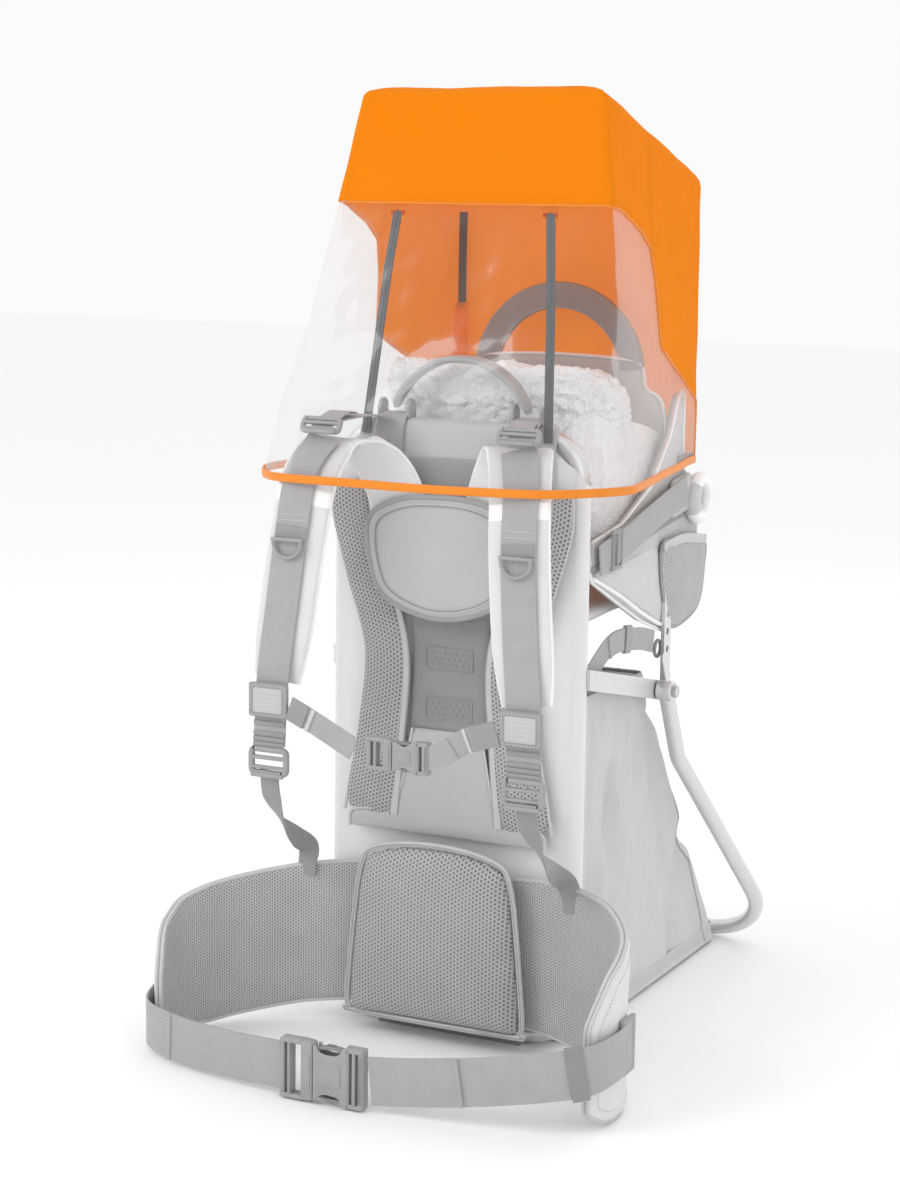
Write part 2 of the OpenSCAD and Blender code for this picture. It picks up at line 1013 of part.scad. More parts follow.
// Slice of the space below the top of the hem
module hem_zone(h) {
  translate([-300, -200, hem_z - 1])
    cube([600, 600, 1 + h]);
}

module rain_hood() {
  color("darkorange")
  difference() {
    hood_shell(hood_t);
    clear_zone(gap);
    hem_zone(hem_h + gap);
  }
}

module hood_window() {
  color("white", 0.35)
  intersection() {
    hood_shell(hood_t);
    clear_zone(0);
  }
}

module hood_hem() {
  color("darkorange")
  intersection() {
    hood_shell(hood_t + 1);
    hem_zone(hem_h);
  }
}

// Stiff straps that hold the visor down, and the shorter pair at the rear corners
module hood_stays() {
  color("dimgray")
  pair() {
    strap([[88, 20, 884], [98, 2, 770], [106, -16, 650]], [1, 0, 0], 10, 3);
    strap([[140, 286, 880], [140, 286, 790], [140, 286, 714]], [1, 0, 0], 10, 3);
  }
}

// Brackets on the seat shell with the pins that the hood tilts on
module hood_pins() {
  color("dimgray")
  pair()
    translate([shell_half_w + gap, tilt_y, tilt_z])
      rotate([0, 90, 0]) {
        cylinder(h = 2.2, r = 4.5);
        translate([-4, -36, 0])
          cube([8, 36, 2.2]);
      }
}

back_frame();
base_frame();
base_skid();
side_bars();
rear_uprights();
kickstand();
stand_grips();
pivot_bolts();
front_panel();
back_panel();
back_pads();
lower_back_panel();
lumbar_pad();
seat_cushion();
side_walls();
rear_wall();
headrest_arch();
fleece_collar();
child_harness();
child_buckle();
mesh_pockets();
side_straps();
loop_rings();
foot_straps();
strap_rings();
link_plates();
storage_bag();
zip_slider();
grab_handle();
handle_anchors();
yoke();
left_shoulder_pad();
right_shoulder_pad();
shoulder_webbing();
lifter_buckles();
load_lifters();
ladder_locks();
lower_webbing();
left_d_ring();
right_d_ring();
sternum_sliders();
chest_webbing_left();
chest_webbing_right();
chest_buckle_socket();
chest_buckle_plug();
chest_prong_upper();
chest_prong_lower();
left_hip_wing();
right_hip_wing();
hip_webbing_left();
hip_webbing_right();
hip_buckle_socket();
hip_buckle_plug();
hip_prong_upper();
hip_prong_lower();
rain_hood();
hood_window();
hood_hem();
hood_stays();
hood_pins();
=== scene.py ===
"""Looks of the child carrier backpack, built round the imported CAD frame. Shapes are given in millimetres."""
import math

import bmesh
import bpy
import numpy as np
from mathutils import Matrix, Vector
from mathutils.geometry import delaunay_2d_cdt


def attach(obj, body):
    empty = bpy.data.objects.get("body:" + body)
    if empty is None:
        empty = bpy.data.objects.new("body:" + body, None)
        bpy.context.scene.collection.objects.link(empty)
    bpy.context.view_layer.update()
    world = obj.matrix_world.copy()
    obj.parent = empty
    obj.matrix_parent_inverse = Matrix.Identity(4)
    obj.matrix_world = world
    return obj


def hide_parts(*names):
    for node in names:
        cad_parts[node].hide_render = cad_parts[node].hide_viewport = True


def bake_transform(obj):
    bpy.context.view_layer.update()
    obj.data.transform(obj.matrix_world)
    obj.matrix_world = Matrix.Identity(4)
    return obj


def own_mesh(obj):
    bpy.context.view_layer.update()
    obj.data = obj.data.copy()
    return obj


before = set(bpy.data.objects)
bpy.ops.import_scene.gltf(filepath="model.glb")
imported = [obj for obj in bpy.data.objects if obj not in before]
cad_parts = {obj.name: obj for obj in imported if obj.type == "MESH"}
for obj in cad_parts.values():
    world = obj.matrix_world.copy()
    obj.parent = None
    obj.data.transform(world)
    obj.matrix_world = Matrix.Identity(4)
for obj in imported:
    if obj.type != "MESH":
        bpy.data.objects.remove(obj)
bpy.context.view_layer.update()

MM = 0.001


# ---------- curves ----------

def unit(v):
    v = np.asarray(v, float)
    return v / np.maximum(np.linalg.norm(v, axis=-1, keepdims=True), 1e-9)


def smooth_line(points, steps=6, closed=False):
    """Catmull-Rom curve through the points."""
    p = np.asarray(points, float)
    if closed:
        p = np.vstack([p[-1], p, p[0], p[1]])
    else:
        p = np.vstack([2 * p[0] - p[1], p, 2 * p[-1] - p[-2]])
    out = []
    for a, b, c, d in zip(p, p[1:], p[2:], p[3:]):
        for f in np.arange(steps) / steps:
            cubic = f * (3 * (b - c) + d - a)
            out.append(b + 0.5 * f * ((c - a) + f * ((2 * a - 5 * b + 4 * c - d) + cubic)))
    if not closed:
        out.append(p[-2])
    return np.array(out)


def lengths(line):
    """Distance along a line at each of its points."""
    steps = np.linalg.norm(np.diff(np.asarray(line, float), axis=0), axis=1)
    return np.concatenate([[0], np.cumsum(steps)])


def at_length(line, d):
    """Points of a line at the distances d along it."""
    line = np.asarray(line, float)
    along = lengths(line)
    return np.stack([np.interp(d, along, line[:, k]) for k in range(line.shape[1])], axis=-1)


def evenly(line, step, closed=False):
    """The line again, with points about step apart."""
    line = np.asarray(line, float)
    if closed:
        line = np.vstack([line, line[0]])
    total = lengths(line)[-1]
    n = max(2, int(round(total / step)))
    points = at_length(line, np.linspace(0, total, n + 1))
    return points[:-1] if closed else points


def tangents(line, closed=False):
    if closed:
        return unit(np.roll(line, -1, 0) - np.roll(line, 1, 0))
    return unit(np.gradient(line, axis=0))


def carried_side(line, closed=False):
    """Side vectors carried along a line without twist."""
    along = tangents(line, closed)
    side = np.cross(along[0], [0.3, 0.2, 1.0])
    sides = []
    for t in along:
        side = unit(side - side.dot(t) * t)
        sides.append(side)
    sides = np.array(sides)
    if closed:
        gap = math.atan2(np.cross(sides[-1], sides[0]).dot(along[0]), sides[-1].dot(sides[0]))
        turn = gap * np.linspace(0, 1, len(line), endpoint=False)[:, None]
        sides = sides * np.cos(turn) + np.cross(along, sides) * np.sin(turn)
    return sides


def ripple(points, size, seed, stretch=(1, 1, 1)):
    """Smooth noise from -1 to 1 at points in mm, with folds about size apart."""
    rng = np.random.default_rng(seed)
    total = np.zeros(np.shape(points)[:-1])
    for _ in range(7):
        way = unit(rng.normal(size=3)) * np.array(stretch) * rng.uniform(0.6, 1.5)
        total += np.sin(np.asarray(points) @ way * 2 * math.pi / size + rng.uniform(0, 6.3))
    return total / 4


def round_corners(corners, radius, steps=5):
    """Closed outline through 2D corners, each rounded by its radius."""
    corners = np.asarray(corners, float)
    radii = np.broadcast_to(radius, len(corners))
    out = []
    for k, b in enumerate(corners):
        a, c = corners[k - 1], corners[(k + 1) % len(corners)]
        run = min(radii[k], 0.49 * np.linalg.norm(a - b), 0.49 * np.linalg.norm(c - b))
        start, end = b + run * unit(a - b), b + run * unit(c - b)
        for t in np.linspace(0, 1, steps + 1):
            out.append((1 - t) ** 2 * start + 2 * t * (1 - t) * b + t * t * end)
    return np.array(out)


def arc(centre, r, start, end, n):
    """2D points of an arc, from angle start to end in degrees."""
    a = np.radians(np.linspace(start, end, n))
    return np.stack([centre[0] + r * np.cos(a), centre[1] + r * np.sin(a)], axis=-1)


# ---------- sections ----------

def web_section(w, t):
    """Section of webbing: flat, with rounded edges."""
    return round_corners([[-w / 2, -t / 2], [w / 2, -t / 2], [w / 2, t / 2], [-w / 2, t / 2]], 0.48 * t, 3)


def oval_section(w, t, n=28, power=0.6):
    a = 2 * math.pi * (np.arange(n) + 0.5) / n
    c, s = np.cos(a), np.sin(a)
    return np.stack([w / 2 * np.sign(c) * abs(c) ** power, t / 2 * np.sign(s) * abs(s) ** power], axis=-1)


def round_section(r, n=10):
    return oval_section(2 * r, 2 * r, n, 1)


# ---------- forms ----------

class Form:
    """Collects the shapes of one piece, in millimetres, before it becomes an object."""

    def __init__(self):
        self.points, self.weave, self.faces, self.slots = [], [], [], []
        self.count = 0

    def add(self, points, faces, weave, mat=0):
        points = np.asarray(points, float).reshape(-1, 3)
        self.points.append(points)
        self.weave.append(np.asarray(weave, float).reshape(-1, 3))
        self.faces += [[i + self.count for i in f] for f in faces]
        self.slots += [mat] * len(faces)
        self.count += len(points)
        return self

    def sweep(self, line, section, side=None, mat=0, scale=None, closed=False):
        """A section swept along a line; side is the direction of the section's width."""
        line, section = np.asarray(line, float), np.asarray(section, float)
        n, m = len(line), len(section)
        along = tangents(line, closed)
        if side is None:
            s = carried_side(line, closed)
        else:
            s = np.broadcast_to(np.asarray(side, float), (n, 3))
            s = unit(s - (s * along).sum(1, keepdims=True) * along)
        u = np.cross(along, s)
        scale = np.ones((n, 2)) if scale is None else np.asarray(scale, float)
        a = section[None, :, 0] * scale[:, None, 0]
        b = section[None, :, 1] * scale[:, None, 1]
        points = line[:, None] + s[:, None] * a[..., None] + u[:, None] * b[..., None]
        d = np.broadcast_to(lengths(line)[:, None], a.shape)
        faces = []
        for k in range(n if closed else n - 1):
            j = (k + 1) % n
            for i in range(m):
                e = (i + 1) % m
                faces.append([k * m + i, k * m + e, j * m + e, j * m + i])
        if not closed:
            faces.append(list(range(m))[::-1])
            faces.append([(n - 1) * m + i for i in range(m)])
        return self.add(points, faces, np.stack([a, d, b], axis=-1), mat)

    def web(self, line, side, w=38, t=2, mat=0, scale=None):
        return self.sweep(line, web_section(w, t), side, mat, scale)

    def tube(self, line, r, mat=0, closed=False, sides=10):
        return self.sweep(line, round_section(r, sides), None, mat, None, closed)

    def cloth(self, grid, thick, mat=0, closed=False, rims=(True, True)):
        """Sheet of cloth through a grid; closed joins the first axis, rims are the second's ends."""
        grid = np.asarray(grid, float)
        n, m = grid.shape[:2]
        du = np.roll(grid, -1, 0) - np.roll(grid, 1, 0) if closed else np.gradient(grid, axis=0)
        dv = np.gradient(grid, axis=1)
        normal = unit(np.cross(du, dv))
        across = np.linalg.norm(np.diff(grid, axis=0, append=grid[:1]), axis=2).max(1)
        u = np.concatenate([[0], np.cumsum(across[:-1])])[:, None] + np.zeros((n, m))
        v = np.concatenate([np.zeros((n, 1)), np.cumsum(np.linalg.norm(np.diff(grid, axis=1), axis=2), 1)], 1)
        points = np.concatenate(
            [(grid + normal * thick / 2).reshape(-1, 3), (grid - normal * thick / 2).reshape(-1, 3)])
        weave = np.stack([u, v, u * 0], -1).reshape(-1, 3)
        faces, size = [], n * m
        for i in range(n if closed else n - 1):
            e = (i + 1) % n
            for j in range(m - 1):
                quad = [i * m + j, e * m + j, e * m + j + 1, i * m + j + 1]
                faces.append(quad)
                faces.append([size + q for q in quad[::-1]])
            for j, wanted in zip((0, m - 1), rims):
                if wanted:
                    faces.append([i * m + j, size + i * m + j, size + e * m + j, e * m + j])
        if not closed:
            for i in (0, n - 1):
                for j in range(m - 1):
                    a, b = i * m + j, i * m + j + 1
                    faces.append([a, b, size + b, size + a])
        return self.add(points, faces, np.concatenate([weave, weave]), mat)

    def plate(self, outline, place, thick, edge=6, step=7, crown=0, mat=0, back=None, fold=0, seed=1,
              back_crown=0):
        """Padded plate: outline is 2D, place(u, v, w) puts it in the frame, edge rounds its rim."""
        rim = evenly(np.asarray(outline, float), step * 0.8, closed=True)
        area = np.sum(rim[:, 0] * np.roll(rim[:, 1], -1) - np.roll(rim[:, 0], -1) * rim[:, 1])
        if area < 0:
            rim = rim[::-1]
        nxt = np.roll(rim, -1, 0)

        def depth(q):
            """Distance of 2D points from the outline."""
            seg = nxt - rim
            t = np.clip(((q[:, None] - rim) * seg).sum(2) / (seg * seg).sum(1), 0, 1)
            return np.linalg.norm(q[:, None] - (rim + t[..., None] * seg), axis=2).min(1)

        way = unit(nxt - np.roll(rim, 1, 0))
        inward = np.stack([-way[:, 1], way[:, 0]], 1)
        rows = [rim]
        for share in (0.12, 0.4, 0.85):
            ring = rim + inward * edge * share
            rows.append(ring[depth(ring) > 0.9 * edge * share])
        low, high = rim.min(0), rim.max(0)
        gx, gy = np.meshgrid(np.arange(low[0], high[0], step), np.arange(low[1], high[1], step * 0.87))
        gx = gx + (np.arange(gx.shape[0]) % 2)[:, None] * step / 2
        inner = np.stack([gx.ravel(), gy.ravel()], 1)
        inside = np.zeros(len(inner), bool)
        for a, b in zip(rim, nxt):
            crosses = (a[1] > inner[:, 1]) != (b[1] > inner[:, 1])
            at = a[0] + (inner[:, 1] - a[1]) * (b[0] - a[0]) / ((b[1] - a[1]) or 1e-9)
            inside ^= crosses & (inner[:, 0] < at)
        inner = inner[inside]
        rows.append(inner[depth(inner) > edge + step * 0.3])
        flat = np.concatenate(rows)
        n = len(rim)
        cut = delaunay_2d_cdt([Vector(p) for p in flat], [(k, (k + 1) % n) for k in range(n)],
                              [list(range(n))], 1, 1e-4)
        verts, tris = np.array([list(v) for v in cut[0]]), [list(f) for f in cut[2]]
        d = depth(verts)
        d[d < 1e-3] = 0
        lift = np.sqrt(np.clip(1 - (1 - np.minimum(d / edge, 1)) ** 2, 0, 1))
        inner_share = np.clip(d / max(d.max(), 1e-6), 0, 1)
        dome = 1 - (1 - inner_share) ** 2
        flat3 = np.stack([verts[:, 0], verts[:, 1], verts[:, 0] * 0], 1)
        wave = fold * ripple(flat3, 60, seed) * lift
        u, v = verts[:, 0], verts[:, 1]
        front = place(u, v, lift * thick / 2 + crown * dome + wave)
        rear = place(u, v, -lift * thick / 2 - back_crown * dome + wave)
        size = len(verts)
        on_rim = d == 0
        index = np.where(on_rim, np.arange(size), np.arange(size) + size)
        faces_rear = [[int(index[i]) for i in f[::-1]] for f in tris]
        weave = np.stack([u, v, u * 0], 1)
        self.add(np.concatenate([front, rear]), tris, np.concatenate([weave, weave]), mat)
        base = self.count - 2 * size
        self.faces += [[i + base for i in f] for f in faces_rear]
        self.slots += [mat if back is None else back] * len(faces_rear)
        return self

    def block(self, outline, place, low, high, bevel=1, mat=0):
        """A moulded block: a 2D outline raised from low to high, with rounded edges."""
        outline = np.asarray(outline, float)
        area = np.sum(outline[:, 0] * np.roll(outline[:, 1], -1) - np.roll(outline[:, 0], -1) * outline[:, 1])
        if area < 0:
            outline = outline[::-1]
        way = unit(np.roll(outline, -1, 0) - np.roll(outline, 1, 0))
        inward = np.stack([-way[:, 1], way[:, 0]], 1)
        levels = [(low, 1), (low + 0.3 * bevel, 0.3), (low + bevel, 0), (high - bevel, 0),
                  (high - 0.3 * bevel, 0.3), (high, 1)]
        n = len(outline)
        rings, weave = [], []
        for w, share in levels:
            ring = outline + inward * bevel * share
            rings.append(place(ring[:, 0], ring[:, 1], np.full(n, float(w))))
            weave.append(np.stack([ring[:, 0], ring[:, 1], np.full(n, float(w))], 1))
        faces = [list(range(n))[::-1], [(len(levels) - 1) * n + i for i in range(n)]]
        for k in range(len(levels) - 1):
            for i in range(n):
                e = (i + 1) % n
                faces.append([k * n + i, k * n + e, (k + 1) * n + e, (k + 1) * n + i])
        return self.add(np.concatenate(rings), faces, np.concatenate(weave), mat)

    def stitches(self, line, mat, length=2.6, pitch=3.8, r=0.45, closed=False):
        """A row of stitches that lies on a line."""
        line = np.asarray(line, float)
        if closed:
            line = np.vstack([line, line[0]])
        total = lengths(line)[-1]
        starts = np.arange(pitch / 2, total - length, pitch)
        if not len(starts):
            return self
        a, b = at_length(line, starts), at_length(line, starts + length)
        t = unit(b - a)
        s = unit(np.cross(t, [0.31, 0.52, 0.8]))
        u = np.cross(t, s)
        mid = (a + b) / 2
        for k in range(len(starts)):
            p = [a[k], mid[k] + r * s[k], mid[k] + r * u[k], mid[k] - r * s[k], mid[k] - r * u[k], b[k]]
            faces = [[0, 2, 1], [0, 3, 2], [0, 4, 3], [0, 1, 4], [5, 1, 2], [5, 2, 3], [5, 3, 4], [5, 4, 1]]
            self.add(p, faces, p, mat)
        return self

    def build(self, name, mats, body, slot, replaces=(), weld=False):
        points = np.concatenate(self.points)
        weave = np.concatenate(self.weave)
        mesh = bpy.data.meshes.new(name)
        mesh.from_pydata((points * MM).tolist(), [], self.faces)
        for m in mats:
            mesh.materials.append(m)
        mesh.polygons.foreach_set("material_index", self.slots)
        layer = mesh.attributes.new("weave", "FLOAT_VECTOR", "POINT")
        layer.data.foreach_set("vector", np.ascontiguousarray(weave * MM, np.float32).ravel())
        tidy_mesh(mesh, weld)
        obj = bpy.data.objects.new(name, mesh)
        bpy.context.scene.collection.objects.link(obj)
        if body:
            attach(obj, body)
        if replaces:
            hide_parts(*replaces)
        return obj


def tidy_mesh(mesh, weld=False):
    """Makes the normals agree and the shading smooth, and joins points that coincide if asked."""
    bm = bmesh.new()
    bm.from_mesh(mesh)
    if weld:
        bmesh.ops.remove_doubles(bm, verts=bm.verts, dist=0.00002)
        bmesh.ops.dissolve_degenerate(bm, edges=bm.edges, dist=0.00001)
    bmesh.ops.recalc_face_normals(bm, faces=bm.faces)
    bm.to_mesh(mesh)
    bm.free()
    mesh.polygons.foreach_set("use_smooth", [True] * len(mesh.polygons))
    mesh.set_sharp_from_angle(angle=math.radians(50))
    mesh.update()


def facing(y, out=-1):
    """Puts a plate in the XZ plane at y, its front towards -Y or, with out 1, towards +Y."""
    return lambda u, v, w: np.stack([u, y + out * w, v], axis=-1)


# ---------- materials ----------

def tone(red, green=None, blue=None):
    """Linear colour of an sRGB colour from 0 to 255; one number is a warm grey."""
    if green is None:
        red, green, blue = red, red - 1, red - 0.5
    return tuple(((c / 255) ** 2.2) for c in (red, green, blue)) + (1,)


class Shader:
    """One material's node tree, with short calls that add and join nodes."""

    def __init__(self, name, rough, metal=0.0):
        self.mat = bpy.data.materials.new(name)
        self.mat.use_nodes = True
        self.tree = self.mat.node_tree
        self.main = self.tree.nodes["Principled BSDF"]
        self.main.inputs["Roughness"].default_value = rough
        self.main.inputs["Metallic"].default_value = metal

    def node(self, kind, **inputs):
        n = self.tree.nodes.new("ShaderNode" + kind)
        for key, value in inputs.items():
            self.put(n.inputs[key.replace("_", " ")], value)
        return n

    def put(self, socket, value):
        if isinstance(value, bpy.types.NodeSocket):
            self.tree.links.new(value, socket)
        else:
            socket.default_value = value

    def math(self, operation, a, b=0.0, clamp=False):
        n = self.tree.nodes.new("ShaderNodeMath")
        n.operation = operation
        n.use_clamp = clamp
        self.put(n.inputs[0], a)
        self.put(n.inputs[1], b)
        return n.outputs[0]

    def weave(self):
        """Coordinates across and along the cloth, in metres."""
        n = self.tree.nodes.new("ShaderNodeAttribute")
        n.attribute_name = "weave"
        parts = self.node("SeparateXYZ", Vector=n.outputs["Vector"])
        return parts.outputs[0], parts.outputs[1]

    def place(self):
        return self.tree.nodes.new("ShaderNodeTexCoord").outputs["Object"]

    def noise(self, size, detail=2.0, vector=None):
        """Noise from 0 to 1 with features about size metres wide."""
        n = self.node("TexNoise", Vector=self.place() if vector is None else vector, Scale=1 / size,
                      Detail=detail)
        return n.outputs["Fac"]

    def wave(self, coordinate, pitch, shift=0.0):
        turned = self.math("MULTIPLY", coordinate, 2 * math.pi / pitch)
        return self.math("SINE", self.math("ADD", turned, shift))

    def colour(self, dark, light, share):
        n = self.tree.nodes.new("ShaderNodeMix")
        n.data_type = "RGBA"
        self.put(n.inputs[0], share)
        self.put(n.inputs[6], dark)
        self.put(n.inputs[7], light)
        self.put(self.main.inputs["Base Color"], n.outputs[2])

    def bump(self, height, distance, strength=1.0):
        n = self.node("Bump", Height=height, Distance=distance, Strength=strength)
        self.put(self.main.inputs["Normal"], n.outputs["Normal"])

    def sheen(self, weight, rough=0.5):
        self.main.inputs["Sheen Weight"].default_value = weight
        self.main.inputs["Sheen Roughness"].default_value = rough


def shaded(colour, share):
    return tuple(c * share for c in colour[:3]) + (1,)


def fabric(name, colour, pitch=0.0012, depth=0.0003, contrast=0.1, rough=0.85, sheen=0.25, folds=0.0004):
    """Plain woven cloth: crossing threads with painted shade in their valleys, soft patches of tone and shallow
    creases.
    """
    s = Shader(name, rough)
    across, along = s.weave()
    threads = s.math("MULTIPLY", s.wave(across, pitch), s.wave(along, pitch))
    patches = s.noise(0.03, 3)
    # Colour: the threads add painted shade in the weave's valleys and a painted highlight on the crossings; the
    # patches are random tone.
    share = s.math("ADD", s.math("MULTIPLY", threads, 0.25), patches, clamp=True)
    s.colour(shaded(colour, 1 - contrast), shaded(colour, 1 + contrast * 0.6), share)
    creases = s.math("MULTIPLY", s.noise(0.022, 3), folds / depth)
    s.bump(s.math("ADD", s.math("MULTIPLY", threads, 0.5), creases), depth)
    s.sheen(sheen)
    return s.mat


def webbing(name, colour, rib=0.0021, depth=0.0004):
    """Woven strap: short ribs in staggered rows, with fine grooves along the strap; the colour follows the relief
    as painted shade in the grooves and painted highlight on the ribs.
    """
    s = Shader(name, 0.62)
    across, along = s.weave()
    ribs = s.math("MULTIPLY", s.wave(along, rib), s.wave(across, rib * 1.3))
    grooves = s.math("ABSOLUTE", s.wave(across, rib * 2.6))
    height = s.math("ADD", s.math("MULTIPLY", ribs, 0.5), s.math("MULTIPLY", grooves, 0.3))
    # Colour: height gives painted shade in the grooves and a painted highlight on the ribs; the noise is random
    # tone.
    share = s.math("ADD", s.math("MULTIPLY", height, 0.4), s.math("MULTIPLY", s.noise(0.02), 0.7), clamp=True)
    s.colour(shaded(colour, 0.86), shaded(colour, 1.08), share)
    s.bump(height, depth)
    s.sheen(0.2)
    return s.mat


def air_mesh(name, colour, pitch=0.0046, depth=0.0012):
    """Spacer mesh: open cells in staggered rows, darkened as painted shade."""
    s = Shader(name, 0.9)
    across, along = s.weave()
    scale = 2 / math.sqrt(3)
    half = s.math("MULTIPLY", across, 0.5 * scale)
    turn = 2 * math.pi / pitch
    waves = [s.math("MULTIPLY", across, scale * turn)]
    for sign in (1, -1):
        waves.append(s.math("MULTIPLY", s.math("ADD", half, s.math("MULTIPLY", along, sign)), turn))
    total = 0.0
    for w in waves:
        total = s.math("ADD", s.math("COSINE", w), total)
    ring = s.node("MapRange", Value=total, From_Min=0.1, From_Max=1.5)
    hole = ring.outputs[0]
    tint = s.math("MULTIPLY", s.noise(0.04), 0.25)
    # The open cells are darkened as painted shade; the noise tint is random tone.
    s.colour(shaded(colour, 1.1), shaded(colour, 0.42),
             s.math("ADD", s.math("MULTIPLY", hole, 0.85), tint, clamp=True))
    s.bump(s.math("MULTIPLY", hole, -1.0), depth)
    s.sheen(0.15)
    return s.mat


def fleece_pile(name, colour):
    """Curly pile: clumps of tufts in two sizes, darker as painted shade where the pile is low."""
    s = Shader(name, 0.95)
    clumps = s.noise(0.009, 4)
    tufts = s.noise(0.0028, 5)
    height = s.math("ADD", clumps, s.math("MULTIPLY", tufts, 0.6))
    # Colour follows the pile's height: painted shade between the clumps, lighter tops.
    s.colour(shaded(colour, 0.78), shaded(colour, 1.05), s.math("SUBTRACT", height, 0.25, clamp=True))
    s.bump(height, 0.005)
    s.sheen(0.8, 0.4)
    return s.mat


def plastic(name, colour, rough=0.42):
    """Moulded plastic with a fine spark grain and slightly rubbed high spots."""
    s = Shader(name, rough)
    grain = s.noise(0.0007, 3)
    share = s.math("ADD", s.math("MULTIPLY", grain, 0.3), s.math("MULTIPLY", s.noise(0.012, 4), 0.7),
                   clamp=True)
    s.colour(shaded(colour, 0.88), shaded(colour, 1.12), share)
    s.bump(grain, 0.00012)
    return s.mat


def metal(name, colour, rough=0.36):
    """Satin anodised aluminium with faint drawing marks."""
    s = Shader(name, rough, 0.85)
    marks = s.node("Mapping", Vector=s.place(), Scale=(900, 900, 60))
    streaks = s.noise(1.0, 2, marks.outputs[0])
    share = s.math("ADD", s.math("MULTIPLY", streaks, 0.5), s.math("MULTIPLY", s.noise(0.05, 3), 0.5))
    s.colour(shaded(colour, 0.92), shaded(colour, 1.06), share)
    s.bump(streaks, 0.00004)
    return s.mat


def translucent_with_painted_glow(mat):
    """Thin nylon that lets light through from its far side, plus a painted glow from a faint orange emission."""
    nodes, links = mat.node_tree.nodes, mat.node_tree.links
    main = nodes["Principled BSDF"]
    main.inputs["Specular IOR Level"].default_value = 0.15
    # Painted glow: a faint orange emission, though the nylon is no lamp.
    main.inputs["Emission Color"].default_value = tone(255, 178, 50)
    main.inputs["Emission Strength"].default_value = 0.13
    glow = nodes.new("ShaderNodeBsdfTranslucent")
    glow.inputs["Color"].default_value = tone(255, 204, 128)
    both = nodes.new("ShaderNodeMixShader")
    both.inputs["Fac"].default_value = 0.45
    links.new(main.outputs[0], both.inputs[1])
    links.new(glow.outputs[0], both.inputs[2])
    links.new(both.outputs[0], nodes["Material Output"].inputs["Surface"])
    return mat


def film(name):
    """Clear soft film: a faint milky haze with bright creases where it bends."""
    s = Shader(name, 0.36)
    s.main.inputs["Specular IOR Level"].default_value = 0.5
    haze = s.noise(0.06, 3)
    s.colour((0.9, 0.92, 0.94, 1), (1, 1, 1, 1), haze)
    tall = s.node("Mapping", Vector=s.place(), Scale=(1, 1, 0.16))
    s.bump(s.noise(0.022, 2, tall.outputs[0]), 0.0007)
    clear = s.node("BsdfTransparent", Color=(0.992, 0.993, 0.995, 1))
    edge = s.node("Fresnel", IOR=1.45)
    amount = s.math("ADD", s.math("MULTIPLY", edge.outputs[0], 0.24), 0.01, clamp=True)
    both = s.node("MixShader", Fac=amount)
    s.tree.links.new(clear.outputs[0], both.inputs[1])
    s.tree.links.new(s.main.outputs[0], both.inputs[2])
    s.tree.links.new(both.outputs[0], s.tree.nodes["Material Output"].inputs["Surface"])
    return s.mat


ORANGE = tone(236, 144, 0)
MAT = {
    "orange": translucent_with_painted_glow(fabric("orange_nylon", ORANGE, 0.0009, 0.00012, 0.05, 0.8, 0, 0.0022)),
    "orange_tape": webbing("orange_tape", tone(240, 136, 0), 0.0012, 0.0002),
    "panel": fabric("pale_panel", tone(243), contrast=0.03, folds=0.0006),
    "pad": fabric("pad_nylon", tone(226), 0.0011, 0.0002, 0.05),
    "lapel": fabric("lapel_nylon", tone(232), 0.0010, 0.0002, 0.04, folds=0.0012),
    "grey": fabric("grey_nylon", tone(203), 0.0014, 0.0003, 0.07),
    "bag": fabric("bag_nylon", tone(212), 0.0013, 0.00025, 0.05, folds=0.003),
    "shield": fabric("shield_nylon", tone(196), 0.0012, 0.00025, 0.05),
    "dark": fabric("dark_nylon", tone(158), 0.0012, 0.0003, 0.07),
    # A darker copy of the grey nylon: painted shade for the side walls' inner faces.
    "painted_shade_grey": fabric("painted_shade_grey_nylon", tone(160), 0.0014, 0.0003, 0.08),
    "mesh": air_mesh("air_mesh", tone(182)),
    "fine_mesh": air_mesh("fine_air_mesh", tone(194), 0.0034, 0.0009),
    "web": webbing("grey_webbing", tone(172)),
    "web_dark": webbing("dark_webbing", tone(156)),
    "binding": webbing("pale_binding", tone(205), 0.0012, 0.0002),
    "piping_light": fabric("white_piping", tone(250), 0.0008, 0.0002, 0.02),
    "piping_dark": webbing("grey_piping", tone(165), 0.0012, 0.0002),
    "reflective": plastic("reflective_tape", tone(248), 0.3),
    "thread": fabric("thread", tone(228), 0.0006, 0.0001, 0.05),
    "thread_dark": fabric("dark_thread", tone(150), 0.0006, 0.0001, 0.05),
    "stay": webbing("stay_tape", tone(96, 99, 101), 0.0014, 0.0003),
    "fleece": fleece_pile("fleece", tone(254)),
    "plastic": plastic("buckle_plastic", tone(156)),
    "plastic_dark": plastic("dark_plastic", tone(138)),
    "rubber": plastic("rubber", tone(140), 0.75),
    "white": plastic("white_cord", tone(244), 0.35),
    "metal": metal("anodised_tube", tone(222)),
    "metal_dark": metal("stand_tube", tone(196), 0.42),
    "steel": metal("bolt_steel", tone(205), 0.3),
    "film": film("clear_film"),
}


def paint_node(name, mat):
    """Gives a CAD node that stays in view its material."""
    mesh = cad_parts[name].data
    mesh.materials.clear()
    mesh.materials.append(MAT[mat])


for node_name, mat_name in {
    "back_frame": "metal", "base_frame": "metal", "side_bars": "metal", "rear_uprights": "metal",
    "link_plates": "metal", "base_skid": "rubber", "stand_grips": "rubber", "pivot_bolts": "steel",
    "strap_rings": "plastic_dark", "left_d_ring": "plastic", "right_d_ring": "plastic", "hood_pins": "plastic_dark",
}.items():
    paint_node(node_name, mat_name)


# ---------- camera, floor and light ----------

VIEW_TURN, VIEW_PITCH, VIEW_ROLL = (math.radians(a) for a in (26, 9.4, 0.8))
VIEW_DISTANCE, VIEW_HEIGHT, VIEW_ASIDE = 2608, 907.5, -10.2
LENS = 74.7


